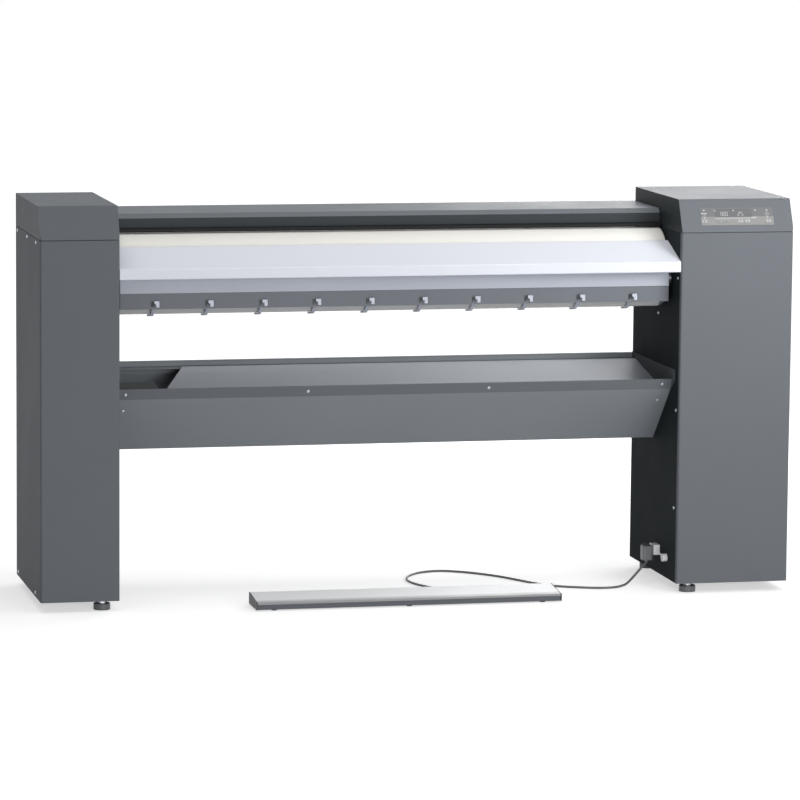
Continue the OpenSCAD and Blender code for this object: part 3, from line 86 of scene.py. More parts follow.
# The photograph's camera, solved from the columns' edges
CAMERA_AT = (-2.45437, -10.76248, 1.92028)
YAW, PITCH, ROLL = math.radians(12.7787), math.radians(7.4246), math.radians(0.4868)
LENS_MM, SENSOR_MM = 198.7425, 36
CLIP_NEAR, CLIP_FAR = 0.1, 60


def place_camera():
    forward = Vector((math.sin(YAW) * math.cos(PITCH), math.cos(YAW) * math.cos(PITCH),
                      -math.sin(PITCH)))
    level = Vector((math.cos(YAW), -math.sin(YAW), 0))
    upright = level.cross(forward)
    right = level * math.cos(ROLL) + upright * math.sin(ROLL)
    up = upright * math.cos(ROLL) - level * math.sin(ROLL)
    lens = bpy.data.cameras.new("photo_camera")
    lens.sensor_width = SENSOR_MM
    lens.lens = LENS_MM
    lens.clip_start = CLIP_NEAR
    lens.clip_end = CLIP_FAR
    camera = bpy.data.objects.new("photo_camera", lens)
    scene.collection.objects.link(camera)
    turn = Matrix((right, up, -forward)).transposed().to_4x4()
    camera.matrix_world = Matrix.Translation(CAMERA_AT) @ turn
    scene.camera = camera


def srgb(r, g, b):
    """A colour given in 0-255 display values as linear light."""
    def lin(c):
        c /= 255
        return c / 12.92 if c <= 0.04045 else ((c + 0.055) / 1.055) ** 2.4
    return (lin(r), lin(g), lin(b), 1)


def toned(colour, factor, lift=0.0):
    """The colour made darker or lighter by a factor."""
    return tuple(min(1, c * factor + lift) for c in colour[:3]) + (1,)


def add_node(tree, kind, inputs=None, **settings):
    """A node with its settings; each input is given a value or another node's socket."""
    made = tree.nodes.new(kind)
    for key, value in settings.items():
        setattr(made, key, value)
    for key, value in (inputs or {}).items():
        if isinstance(value, bpy.types.NodeSocket):
            tree.links.new(value, made.inputs[key])
        else:
            made.inputs[key].default_value = value
    return made


class Finish:
    """Builds one material's node tree."""

    def __init__(self, name, **sockets):
        self.material = bpy.data.materials.new(name)
        self.material.use_nodes = True
        self.tree = self.material.node_tree
        self.shader = self.tree.nodes["Principled BSDF"]
        for socket, value in sockets.items():
            self.shader.inputs[socket.replace("_", " ")].default_value = value

    def node(self, kind, inputs=None, **settings):
        return add_node(self.tree, kind, inputs, **settings)

    def coordinates(self, scale=(1, 1, 1), uv=False):
        place = self.node("ShaderNodeTexCoord")
        return self.node("ShaderNodeMapping",
                         {"Vector": place.outputs["UV" if uv else "Object"], "Scale": scale}).outputs[0]

    def along(self, vector, axis):
        return self.node("ShaderNodeSeparateXYZ", {"Vector": vector}).outputs[axis]

    def noise(self, vector, scale, detail=2, roughness=0.5):
        return self.node("ShaderNodeTexNoise", {"Vector": vector, "Scale": scale, "Detail": detail,
                                                "Roughness": roughness}).outputs["Fac"]

    def span(self, value, low, high, low_in=0.0, high_in=1.0):
        """The value's range low_in..high_in carried to low..high."""
        return self.node("ShaderNodeMapRange", {"Value": value, "From Min": low_in,
                                                "From Max": high_in, "To Min": low,
                                                "To Max": high}).outputs["Result"]

    def product(self, first, second):
        return self.node("ShaderNodeMath", {0: first, 1: second}, operation="MULTIPLY").outputs[0]

    def blend(self, factor, first, second):
        """The first colour at factor 0, the second at 1; the colours are inputs 6 and 7."""
        return self.node("ShaderNodeMix", {"Factor": factor, 6: first, 7: second},
                         data_type="RGBA").outputs[2]

    def paint(self, tone):
        self.tree.links.new(tone, self.shader.inputs["Base Color"])

    def gloss(self, pattern, rough, less, more):
        """Roughness that drifts with a pattern from rough - less to rough + more."""
        self.tree.links.new(self.span(pattern, rough - less, rough + more),
                            self.shader.inputs["Roughness"])

    def bump(self, height, depth):
        made = self.node("ShaderNodeBump", {"Height": height, "Distance": depth, "Strength": 1.0})
        self.tree.links.new(made.outputs[0], self.shader.inputs["Normal"])


def powder_coat(name, colour, gloss=0.55, drift=0.05, grain=0.00002, shine=0.1, zones=()):
    """Powder-coated sheet: fine orange peel, slow drift of tone and gloss. A zone is an axis, a
    place on it in metres and the tone of what lies below that place; most zones here are painted light
    or shade, the panel's is its two-tone foil."""
    blur = 0.0003
    made = Finish(name, Metallic=0, IOR=1.5, Specular_IOR_Level=shine)
    place = made.coordinates()
    slow = made.noise(place, scale=3.5, detail=3)

    def drifting(tone):
        return made.blend(slow, toned(tone, 1 - drift), toned(tone, 1 + drift))

    tone = drifting(colour)
    for axis, level, below in zones:
        above = made.span(made.along(place, axis), 0, 1, level - blur, level + blur)
        tone = made.blend(above, drifting(below), tone)
    made.paint(tone)
    made.gloss(made.noise(place, scale=9), gloss, less=0.05, more=0.05)
    made.bump(made.noise(place, scale=750, roughness=0.6), depth=grain)
    return made.material


def turned_steel(name, colour, rough, along):
    """Bright metal with fine lines along one direction."""
    made = Finish(name, Metallic=1.0)
    long_scale, cross_scale = 18, 900
    stretch = tuple(long_scale if a else cross_scale for a in along)
    lines = made.noise(made.coordinates(stretch), scale=1, detail=3)
    made.paint(made.blend(lines, toned(colour, 0.82), colour))
    made.gloss(made.noise(made.coordinates(), scale=40, detail=3), rough, less=0.06, more=0.08)
    made.bump(lines, depth=0.00001)
    return made.material


def zinc_plate(name, colour, rough):
    """Zinc plating: spangled tone, patchy gloss."""
    made = Finish(name, Metallic=0.9)
    place = made.coordinates()
    spangle = made.node("ShaderNodeTexVoronoi", {"Vector": place, "Scale": 260}).outputs["Distance"]
    made.paint(made.blend(spangle, toned(colour, 0.8), colour))
    made.gloss(made.noise(place, scale=70, detail=3), rough, less=0.08, more=0.1)
    made.bump(made.noise(place, scale=500), depth=0.00001)
    return made.material


def moulded(name, colour, rough, grain=0.00003):
    """Moulded plastic with a fine eroded grain."""
    made = Finish(name, IOR=1.48)
    place = made.coordinates()
    made.paint(made.blend(made.noise(place, scale=12, detail=3), toned(colour, 0.9), colour))
    made.gloss(made.noise(place, scale=30), rough, less=0.05, more=0.07)
    made.bump(made.noise(place, scale=1400), depth=grain)
    return made.material


def cast_surface(name, colour, rough=0.55):
    """Cast housing: coarse skin under thin paint."""
    made = Finish(name, Metallic=0.2)
    place = made.coordinates()
    made.paint(made.blend(made.noise(place, scale=60, detail=4), toned(colour, 0.75), colour))
    made.gloss(made.noise(place, scale=120, detail=3), rough, less=0.1, more=0.1)
    made.bump(made.noise(place, scale=420, detail=3), depth=0.00012)
    return made.material


def woven(name, colour, shade):
    """Plain weave on the piece's own UV map, which is in metres."""
    threads = 1400
    made = Finish(name, Roughness=0.88, Sheen_Weight=0.35, Sheen_Roughness=0.5)
    place = made.coordinates(uv=True)
    waves = []
    for axis in "XY":
        wave = made.node("ShaderNodeTexWave", {
            "Vector": place, "Scale": threads / (2 * math.pi), "Distortion": 0.6,
            "Detail": 1.0, "Detail Scale": 0.4}, bands_direction=axis)
        waves.append(wave.outputs["Fac"])
    weave = made.product(*waves)
    slub = made.noise(made.coordinates((40, 6, 1), uv=True), scale=1, detail=3)
    made.paint(made.blend(made.product(made.span(weave, 0.55, 1), made.span(slub, 0.8, 1)),
                          shade, colour))
    made.bump(weave, depth=0.00012)
    return made.material


def felt(name, colour):
    """Needled felt: matted fibres."""
    made = Finish(name, Roughness=0.95, Sheen_Weight=0.4)
    matted = made.noise(made.coordinates(), scale=380, detail=5, roughness=0.7)
    made.paint(made.blend(matted, toned(colour, 0.7), colour))
    made.bump(matted, depth=0.0006)
    return made.material


def rubber(name, colour, rough):
    """Dull black or grey rubber, a little paler where it is rubbed."""
    made = Finish(name, IOR=1.45)
    place = made.coordinates()
    made.paint(made.blend(made.noise(place, scale=25, detail=3), colour,
                          toned(colour, 1.5, lift=0.004)))
    made.gloss(made.noise(place, scale=60), rough, less=0.08, more=0.08)
    made.bump(made.noise(place, scale=1100), depth=0.00004)
    return made.material


def anodised(name, colour, rough, nose):
    """Extruded cover, satin anodised, drawn lines along the machine. Between the two places on y that
    nose gives, in metres, its front edge goes from painted shade to the cover's own tone."""
    made = Finish(name, Metallic=0, IOR=1.5, Specular_IOR_Level=0.15)
    place = made.coordinates()
    drawn = made.noise(made.coordinates((6, 1500, 1500)), scale=1)
    made.paint(made.blend(made.span(made.along(place, "Y"), 0, 1, *nose), toned(colour, 0.3),
                          made.blend(drawn, toned(colour, 0.93), colour)))
    made.gloss(made.noise(place, scale=14), rough, less=0.05, more=0.05)
    made.bump(drawn, depth=0.000006)
    return made.material


def zone(axis, place, below):
    """A zone of powder_coat from a place in the machine's measures."""
    start = {"X": MIDDLE_X, "Y": MIDDLE_Y, "Z": 0.0}[axis]
    return (axis, (place - start) * MM, below)


# How far behind a face the tone of that face ends, and how far below its top the painted shade in the
# caps' groove ends
SKIN, GROOVE_SKIN = 0.5, 0.1
# Upper end of the control panel's paler lower band
PANEL_BAND_Z = SEAM_Z + 39.5
# The tread's rounded nose, painted as shade from its dark front to the cover's own tone
NOSE_SHADE_Y = (BAR_Y0 - 2, BAR_Y0 + 28)

COLUMN_GREY, FRAME_DARK_AND_CAP_SHADE, GROOVE_PAINTED_SHADE = srgb(105, 109, 114), srgb(36, 41, 43), srgb(52, 55, 58)
# Painted shade: the shadow groove round the foot of both caps is painted dark
CAP_GROOVE_SHADE = zone("Z", SEAM_Z + GROOVE_H - GROOVE_SKIN, GROOVE_PAINTED_SHADE)
IRON_GREY = powder_coat("iron_grey_coat", COLUMN_GREY, shine=0.03)
LEFT_CAP_GREY = powder_coat("left_cap_coat", COLUMN_GREY, shine=0.05, zones=[CAP_GROOVE_SHADE])
# Painted shade: the right cap's inner side face is painted as dark as the frame plates
RIGHT_CAP_GREY = powder_coat("right_cap_coat", COLUMN_GREY,
                             zones=[CAP_GROOVE_SHADE, zone("X", WALL_R + SKIN, FRAME_DARK_AND_CAP_SHADE)])
# Painted light: the tray's front panel is painted paler below its fold, for the floor's light on its
# down-turned face, and darker above it
TRAY_GREY = powder_coat("tray_grey_coat", srgb(102, 106, 111),
                        zones=[zone("Z", TRAY_FOLD[1], srgb(128, 133, 138))])
TRAY_BACK_GREY = powder_coat("tray_back_coat", srgb(140, 145, 150))
# Painted light and reflection: the trough cover's upper band, above its fold, is painted much paler
# than its lower band
COVER_GREY = powder_coat("trough_cover_coat", srgb(172, 177, 187),
                         zones=[zone("Z", COVER_FOLD_Z - SKIN, srgb(112, 116, 122))])
# Painted shade: the hood's front face, below its bevel, is painted darker than its top
HOOD_GREY = powder_coat("hood_coat", srgb(108, 113, 118),
                        zones=[zone("Z", HOOD_Z - HOOD_BEVEL, srgb(56, 60, 63))])
DARK_FRAME = powder_coat("dark_frame_coat", FRAME_DARK_AND_CAP_SHADE, 0.7, shine=0.03)
END_GREY = powder_coat("tray_end_coat", srgb(84, 88, 91), 0.6, shine=0.06)
DEPOSIT_GREY = powder_coat("deposit_plate_coat", srgb(198, 203, 212), 0.5, drift=0.02)
# Painted shade: the feed table is painted a little darker below its top face, on its lip and underside
TABLE_PALE = powder_coat("feed_table_coat", srgb(236, 239, 247), 0.45, drift=0.01, grain=0.000008,
                         zones=[zone("Z", TABLE_Z - SKIN, srgb(220, 223, 231))])
BLACK_STRIP = powder_coat("guard_black_anodised", srgb(20, 21, 23), 0.45)
BAR_GREY = powder_coat("foot_bar_coat", srgb(98, 102, 107), 0.4)
CLAMP_STEEL = powder_coat("clamp_zinc", srgb(182, 186, 200), 0.4, shine=0.5)
HOUSING_SHEET = powder_coat("housing_sheet", srgb(186, 187, 188), 0.4)
PANEL_FOIL = powder_coat("panel_foil", srgb(114, 115, 116), 0.45, drift=0.02, grain=0.000004,
                         zones=[zone("Z", PANEL_BAND_Z, srgb(138, 138, 137))])
SWITCH_BOX = zinc_plate("galvanised_sheet", srgb(180, 184, 187), 0.42)
ZINC = zinc_plate("zinc_plated_steel", srgb(205, 208, 214), 0.3)
BUSH_STEEL = zinc_plate("bush_steel", srgb(160, 165, 178), 0.36)
SCREW_STEEL = turned_steel("screw_steel", srgb(196, 200, 208), 0.42, along=(0, 1, 0))
SHAFT_STEEL = turned_steel("shaft_steel", srgb(168, 170, 172), 0.28, along=(1, 0, 0))
HEATED_PLATE = turned_steel("heated_plate_polish", srgb(206, 208, 210), 0.16, along=(1, 0, 0))
HEATER_SHEATH = turned_steel("heater_sheath", srgb(140, 128, 112), 0.42, along=(1, 0, 0))
# Painted shade on the tread's rounded front edge
TREAD_ALUMINIUM = anodised("tread_aluminium", srgb(251, 252, 254), 0.4,
                           nose=[(y - MIDDLE_Y) * MM for y in NOSE_SHADE_Y])
MACHINED_CAST = cast_surface("machined_casting", srgb(84, 88, 90))
DRIVE_PAINT = cast_surface("drive_paint", srgb(70, 96, 106), 0.5)
BELT_RUBBER = rubber("belt_rubber", srgb(28, 29, 30), 0.7)
SHEATH_RUBBER = rubber("cord_sheath", srgb(88, 89, 90), 0.45)
FOOT_RUBBER = rubber("foot_rubber", srgb(26, 27, 28), 0.75)
FOOT_PLASTIC = moulded("levelling_pad_plastic", srgb(96, 98, 100), 0.3)
BLACK_PLASTIC = moulded("black_plastic", srgb(30, 32, 34), 0.48)
PLUG_PLASTIC = moulded("plug_plastic", srgb(112, 113, 116), 0.4)
WHITE_PLASTIC = moulded("white_plastic", srgb(252, 252, 253), 0.3)
PALE_KEY = moulded("pale_key", srgb(168, 170, 172), 0.5)
GREY_KEY = moulded("grey_key", srgb(142, 144, 146), 0.5)
BOARD_GREEN = moulded("circuit_board", srgb(44, 92, 68), 0.4)
LENS = moulded("display_lens", srgb(101, 102, 104), 0.3, grain=0.0)
PALE_PRINT = moulded("pale_print", srgb(172, 174, 176), 0.5, grain=0.0)
DARK_PRINT = moulded("dark_print", srgb(88, 89, 90), 0.5, grain=0.0)
CLOTH = woven("ironing_cloth_weave", srgb(247, 246, 242), srgb(222, 219, 210))
FELT = felt("roller_felt", srgb(205, 198, 180))
MINERAL_MAT = felt("mineral_mat", srgb(214, 205, 158))

NODE_FINISH = {
    IRON_GREY: ["left_casing", "right_casing", "back_panels"],
    LEFT_CAP_GREY: ["left_cap"],
    RIGHT_CAP_GREY: ["right_cap"],
    DARK_FRAME: ["left_frame_plate", "right_frame_plate", "base_frames", "hood_beam"],
    END_GREY: ["tray_end_plates"],
    HOOD_GREY: ["hood"],
    BLACK_STRIP: ["finger_guard"],
    TABLE_PALE: ["feed_table"],
    COVER_GREY: ["trough_front_cover", "trough_end_plates"],
    HOUSING_SHEET: ["trough_housing"],
    CLAMP_STEEL: ["trough_clamps"],
    HEATED_PLATE: ["trough_plate"],
    HEATER_SHEATH: ["heating_elements"],
    TRAY_GREY: ["tray_front_panel"],
    TRAY_BACK_GREY: ["tray_back_panel"],
    DEPOSIT_GREY: ["deposit_plate"],
    MACHINED_CAST: ["roller_bearings", "roller_pulley", "motor_pulley"],
    BUSH_STEEL: ["plain_bushes"],
    DRIVE_PAINT: ["drive_gear_motor", "lift_gear_motor"],
    SHAFT_STEEL: ["lift_shaft", "roller_ends", "roller_tube"],
    ZINC: ["foot_stems", "lift_arms", "foot_bar_springs"],
    SCREW_STEEL: ["panel_screws"],
    BELT_RUBBER: ["drive_belt"],
    FOOT_PLASTIC: ["foot_pads"],
    PANEL_FOIL: ["control_panel"],
    LENS: ["display_window"],
    BOARD_GREEN: ["control_board"],
    PALE_KEY: ["key_start", "key_power", "key_speed_down", "key_speed_up"],
    GREY_KEY: ["key_temp_down", "key_temp_up"],
    SWITCH_BOX: ["electrics_box"],
    BLACK_PLASTIC: ["cable_gland", "micro_switches", "foot_bar_end_caps"],
    PLUG_PLASTIC: ["foot_plug"],
    WHITE_PLASTIC: ["foot_socket", "socket_cap"],
    TREAD_ALUMINIUM: ["foot_tread"],
    BAR_GREY: ["foot_bar_base"],
    FOOT_RUBBER: ["foot_bar_feet"],
    CLOTH: ["roller_cloth"],
    FELT: ["roller_padding"],
    MINERAL_MAT: ["trough_insulation"],
    SHEATH_RUBBER: ["foot_cord"],
}


def finish_nodes():
    for finish, names in NODE_FINISH.items():
        for name in names:
            slots = nodes[name].data.materials
            slots.clear()
            slots.append(finish)


def linked(name, mesh, finish):
    """The mesh as a new piece of the scene."""
    mesh.materials.append(finish)
    piece = bpy.data.objects.new(name, mesh)
    scene.collection.objects.link(piece)
    return piece


def new_piece(name, vertices, faces, finish, smooth=True, uvs=None):
    mesh = bpy.data.meshes.new(name)
    mesh.from_pydata([tuple(v) for v in vertices], [], faces)
    if uvs is not None:
        layer = mesh.uv_layers.new(name="UVMap")
        for loop in mesh.loops:
            layer.data[loop.index].uv = uvs[loop.vertex_index]
    mesh.polygons.foreach_set("use_smooth", [smooth] * len(mesh.polygons))
    mesh.update()
    return linked(name, mesh, finish)


def piece_of(name, shape, finish):
    """A new piece from a bmesh, which is freed."""
    mesh = bpy.data.meshes.new(name)
    shape.to_mesh(mesh)
    shape.free()
    return linked(name, mesh, finish)


def tidy_normals(piece):
    shape = bmesh.new()
    shape.from_mesh(piece.data)
    bmesh.ops.remove_doubles(shape, verts=shape.verts, dist=1e-6)
    bmesh.ops.recalc_face_normals(shape, faces=shape.faces)
    shape.to_mesh(piece.data)
    shape.free()
    return piece


def baked(piece):
    """The piece with its modifiers applied to a plain mesh, under the same name."""
    bpy.context.view_layer.update()
    graph = bpy.context.evaluated_depsgraph_get()
    mesh = bpy.data.meshes.new_from_object(piece.evaluated_get(graph))
    piece.modifiers.clear()
    old = piece.data
    piece.data = mesh
    bpy.data.meshes.remove(old)
    return piece


def capped_walls(rings, sides):
    """Faces between rings of vertices that follow one another, and a cap at each end."""
    faces = []
    for i in range(rings - 1):
        for k in range(sides):
            n = (k + 1) % sides
            faces.append((i * sides + k, i * sides + n, (i + 1) * sides + n, (i + 1) * sides + k))
    faces.append(tuple(range(sides))[::-1])
    faces.append(tuple((rings - 1) * sides + k for k in range(sides)))
    return faces


CORD_R = 3.0 * MM
CORD_ROUTE = [
    (1585.7, 175, 55), (1584.6, 174.8, 50.8), (1575, 171.5, 43.5), (1563.9, 167, 33.5),
    (1543.2, 152, 18), (1523.3, 134, 6.8), (1506, 120, 3.6), (1480, 102, 3.2),
    (1440, 100, 3.2), (1390, 118, 3.2), (1340, 145, 3.2), (1300, 190, 3.2), (1266, 250, 3.2),
    (1234, 306, 3.2), (1196, 354, 3.2), (1150, 396, 3.2), (1098, 420, 3.2), (1044, 404, 3.2),
    (1004, 358, 3.2), (986, 300, 3.2), (992, 244, 3.2), (1014, 192, 3.2), (1044, 146, 3.2),
    (1070, 106, 3.5), (1082, 76, 6), (1086, 54, 11), (1086, 36, 14)]
CORD_STEPS = 6


def smooth_line(points, steps):
    """The source's own curve through its route points."""
    last = len(points) - 1
    line = []
    for i in range(last):
        a, b, c, d = (points[max(0, min(last, k))] for k in (i - 1, i, i + 1, i + 2))
        for k in range(steps):
            t = k / steps
            line.append(b + t * (c - a) / 2 + t * t * (a - 2.5 * b + 2 * c - 0.5 * d)
                        + t ** 3 * (1.5 * (b - c) + 0.5 * (d - a)))
    return line + [points[-1]]


def heading(line, i):
    """The direction of a line of points at one of them."""
    return (line[min(i + 1, len(line) - 1)] - line[max(i - 1, 0)]).normalized()


def tube(name, line, radii, finish, sides=16):
    """A closed round tube along a line, with a UV map in metres."""
    vertices, uvs = [], []
    side = Vector((0, 1, 0))
    run = 0.0
    for i, point in enumerate(line):
        ahead = heading(line, i)
        side = (side - ahead * side.dot(ahead)).normalized()
        other = ahead.cross(side)
        if i:
            run += (point - line[i - 1]).length
        for k in range(sides):
            angle = 2 * math.pi * k / sides
            vertices.append(point + radii[i] * (math.cos(angle) * side + math.sin(angle) * other))
            uvs.append((run, radii[i] * angle))
    return new_piece(name, vertices, capped_walls(len(line), sides), finish, uvs=uvs)


def lay_cord():
    line = smooth_line([at(*p) for p in CORD_ROUTE], CORD_STEPS)
    cord = tube("foot_bar_cord", line, [CORD_R] * len(line), SHEATH_RUBBER)
    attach(cord, "machine")
    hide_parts("foot_cord")


def run_lengths(profile):
    """How far a profile in mm has run at each of its points, in metres."""
    runs = [0.0]
    for a, b in zip(profile, profile[1:]):
        runs.append(runs[-1] + math.dist(a, b) * MM)
    return runs


def around_roller(name, profile, finish, turns, reach=lambda radius, angle: radius):
    """Turns a profile of (x, radius) pairs round the roller's axis; the UV map is in metres."""
    vertices, faces, uvs = [], [], []
    count = len(profile)
    runs = run_lengths(profile)
    for j in range(turns + 1):
        angle = 2 * math.pi * j / turns
        for i, (x, radius) in enumerate(profile):
            r = reach(radius, angle)
            vertices.append(at(x, ROLLER_Y - r * math.sin(angle), ROLLER_Z - r * math.cos(angle)))
            uvs.append((runs[i], angle * ROLLER_R * MM))
    for j in range(turns):
        for i in range(count - 1):
            faces.append((j * count + i, j * count + i + 1, (j + 1) * count + i + 1,
                          (j + 1) * count + i))
    return new_piece(name, vertices, faces, finish, uvs=uvs)


def mirrored(left):
    """The profile points of the roller's left end carried to its right end."""
    return [(ROLLER_X1 - (x - ROLLER_X0), r) for x, r in reversed(left)]


# The cloth's drawn-in rim: distance from the roller's end, and radius; then the spans along half
# the roller, the woven sheet's thickness, and the gathers' number, steps and height
RIM_R = 78.0
CLOTH_RIM = [(2.5, RIM_R), (0.9, RIM_R + 4), (0.5, ROLLER_R - 4), (1.2, ROLLER_R - 1.6),
             (2.6, ROLLER_R - 0.4), (4.5, ROLLER_R)]
CLOTH_SPANS, CLOTH_SHEET = 22, 1.2
GATHERS, GATHER_STEPS, GATHER_H = 48, 6, 0.35


def wrap_cloth():
    """The cloth over the felt, its edges drawn in over the roller's ends in small gathers."""
    bend, half = CLOTH_RIM[-1][0], (ROLLER_X1 - ROLLER_X0) / 2
    plain = [(bend + (half - bend) * k / CLOTH_SPANS, ROLLER_R) for k in range(1, CLOTH_SPANS + 1)]
    left = [(ROLLER_X0 + inset, r) for inset, r in CLOTH_RIM + plain]
    profile = left + mirrored(left[:-1])

    def gathered(radius, angle):
        pull = max(0.0, (ROLLER_R - radius) / (ROLLER_R - RIM_R))
        return radius + GATHER_H * pull * math.sin(GATHERS * angle)

    cloth = tidy_normals(around_roller("ironing_cloth", profile, CLOTH, GATHER_STEPS * GATHERS,
                                       gathered))
    thick = cloth.modifiers.new("thickness", "SOLIDIFY")
    thick.thickness = CLOTH_SHEET * MM
    thick.offset = -1
    baked(cloth)
    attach(cloth, "roller")
    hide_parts("roller_cloth")


# The felt's rounded ends: where they start, how far they bulge, and its gap to the tube
FELT_IN, FELT_BULGE, FELT_GAP = 5.0, 3.6, 0.3
FELT_BENDS, FELT_TURNS = 8, 128


def wrap_felt():
    """The felt between the roller's tube and the cloth, a sleeve with rounded ends."""
    outer = ROLLER_R - CLOTH_T
    inner = outer - FELT_T + FELT_GAP
    left = []
    for k in range(FELT_BENDS + 1):
        angle = math.pi * k / FELT_BENDS
        left.append((ROLLER_X0 + FELT_IN - FELT_BULGE * math.sin(angle),
                     (outer + inner) / 2 - (outer - inner) / 2 * math.cos(angle)))
    ring = left + mirrored(left)
    ring.append(ring[0])
    sleeve = tidy_normals(around_roller("roller_felt", ring, FELT, FELT_TURNS))
    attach(sleeve, "roller")
    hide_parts("roller_padding")


# The housing's folds below the mat, in (y, z) from the trough's centre, as shares of the
# plate's outer radius
HOUSING_SHARES = [(-1.039, -0.564), (-0.609, -0.984), (-0.27, -1.04), (0.242, -1.05),
                  (0.621, -1.004), (1.014, -0.564)]
# The mat's ends within the columns' walls, its steps round the trough, its columns along it
MAT_END_IN, MAT_STEP, MAT_COLUMNS = 19, 6, 120
# Distance from the housing's sheet, and swell, of the mat's two faces
MAT_FACES = ((0.5, 0.0), (2.0, 0.28))


def quilt_wave(i, j):
    """Uneven waves from -1 to 1 over the mat's columns i and rows j."""
    row_wave, column_wave, lean, lean_wave = 0.9, 0.53, 1.7, 0.31
    return math.sin(row_wave * j + lean * math.sin(lean_wave * i)) * math.cos(column_wave * i)


def lay_mat():
    """Mineral mat inside the trough's housing: an uneven quilt that follows the sheet's folds."""
    centre = Vector((TROUGH_Y, TROUGH_Z))
    folds = [centre + PLATE_OUT_R * Vector(share) for share in HOUSING_SHARES]
    path = []
    for a, b in zip(folds, folds[1:]):
        count = max(2, round((b - a).length / MAT_STEP))
        path += [a.lerp(b, k / count) for k in range(count)]
    path.append(folds[-1])
    x0, x1 = WALL_L + MAT_END_IN, WALL_R - MAT_END_IN
    rows = len(path)
    vertices, faces = [], []
    for depth, swell in MAT_FACES:
        for i in range(MAT_COLUMNS + 1):
            x = x0 + (x1 - x0) * i / MAT_COLUMNS
            for j, point in enumerate(path):
                inward = (centre - point).normalized() * (depth - abs(swell * quilt_wave(i, j)))
                vertices.append(at(x, point.x + inward.x, point.y + inward.y))
    layer = (MAT_COLUMNS + 1) * rows
    for i in range(MAT_COLUMNS):
        for j in range(rows - 1):
            a, b = i * rows + j, (i + 1) * rows + j
            faces.append((a, b, b + 1, a + 1))
            faces.append((layer + a, layer + a + 1, layer + b + 1, layer + b))
        for j in (0, rows - 1):
            a, b = i * rows + j, (i + 1) * rows + j
            faces.append((a, layer + a, layer + b, b))
    for i in (0, MAT_COLUMNS):
        for j in range(rows - 1):
            a = i * rows + j
            faces.append((a, a + 1, layer + a + 1, layer + a))
    mat = tidy_normals(new_piece("mineral_quilt", vertices, faces, MINERAL_MAT))
    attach(mat, "trough")
    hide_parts("trough_insulation")


class Pattern:
    """A geometry tree with named inputs that is baked to a plain mesh."""

    KINDS = ((int, "Int"), (float, "Float"), (tuple, "Vector"),
             (bpy.types.Object, "Object"), (bpy.types.Material, "Material"))

    def __init__(self, name, from_points=False, **sizes):
        self.tree = bpy.data.node_groups.new(name, "GeometryNodeTree")
        if from_points:
            self.tree.interface.new_socket("Points", in_out="INPUT",
                                           socket_type="NodeSocketGeometry")
        self.sizes = {}
        for label, value in sizes.items():
            kind = next(k for t, k in self.KINDS if isinstance(value, t))
            socket = self.tree.interface.new_socket(label, in_out="INPUT",
                                                    socket_type="NodeSocket" + kind)
            self.sizes[label] = (socket.identifier, value)
        self.tree.interface.new_socket("Mesh", in_out="OUTPUT", socket_type="NodeSocketGeometry")
        self.given = self.tree.nodes.new("NodeGroupInput").outputs

    def node(self, kind, inputs=None, **settings):
        return add_node(self.tree, kind, inputs, **settings)

    def shape_of(self, label):
        """The mesh of the object that an input names."""
        return self.node("GeometryNodeObjectInfo", {"Object": self.given[label]}).outputs["Geometry"]

    def row(self, shape):
        """Count copies of a shape from Start on, one Pitch apart along x."""
        step = self.node("ShaderNodeCombineXYZ", {"X": self.given["Pitch"]}).outputs[0]
        line = self.node("GeometryNodeMeshLine", {
            "Count": self.given["Count"], "Start Location": self.given["Start"], "Offset": step},
            mode="OFFSET", count_mode="TOTAL").outputs[0]
        return self.node("GeometryNodeInstanceOnPoints", {"Points": line, "Instance": shape})

    def bake(self, piece, placed):
        """Ends the tree after its instances and gives the piece the mesh it makes."""
        real = self.node("GeometryNodeRealizeInstances", {"Geometry": placed.outputs[0]})
        painted = self.node("GeometryNodeSetMaterial", {"Geometry": real.outputs[0],
                                                        "Material": self.given["Finish"]})
        self.node("NodeGroupOutput", {0: painted.outputs[0]})
        modifier = piece.modifiers.new("pattern", "NODES")
        modifier.node_group = self.tree
        for identifier, value in self.sizes.values():
            modifier[identifier] = value
        return baked(piece)


# Screw head: radius, height, half the socket's width and sides; then its outline from foot to
# top, as shares of its radius and height
HEAD_R, HEAD_H, SOCKET_R, HEAD_SIDES = 4.0, 2.4, 1.5, 36
HEAD_SHARES = ((1, 0), (1, 0.25), (0.97, 0.5), (0.86, 0.76), (0.68, 0.94), (0.52, 1))
SOCKET_FLOOR_SHARE = 0.4


def screw_head():
    """A pan head with a hexagon socket, standing on the xy plane, top towards z."""
    vertices = []

    def ring(r, z, hexagon=False):
        for k in range(HEAD_SIDES):
            angle = 2 * math.pi * k / HEAD_SIDES
            turn = (angle + math.pi / 6) % (math.pi / 3) - math.pi / 6
            reach = r / math.cos(turn) if hexagon else r
            vertices.append((reach * math.cos(angle) * MM, reach * math.sin(angle) * MM, z * MM))

    for r_share, z_share in HEAD_SHARES:
        ring(r_share * HEAD_R, z_share * HEAD_H)
    ring(SOCKET_R, HEAD_H, hexagon=True)
    ring(SOCKET_R, SOCKET_FLOOR_SHARE * HEAD_H, hexagon=True)
    faces = capped_walls(len(vertices) // HEAD_SIDES, HEAD_SIDES)
    return new_piece("screw_head", vertices, faces, SCREW_STEEL, smooth=False)


# Screw places as in the part's source: along y as shares of the columns' depth, on the inner
# walls also along z as shares of the seam's height, on the tray along x as shares of its width
SIDE_SCREW_SHARES, SIDE_LOW_SHARES = (0.16, 0.511, 0.911), (0.205, 0.911)
WALL_SCREW_SHARES = ((0.066, 0.874), (0.066, 0.508), (0.073, 0.2355), (0.457, 0.758))
TRAY_SCREW_SHARES = (0.34, 0.665)
BAND_SCREW_SHARE, LOW_SCREW_SHARE = 0.5, 0.22
SCREW_EDGE, SCREW_LOW_RISE, CORNER_SCREW_IN = 9, 12, 25


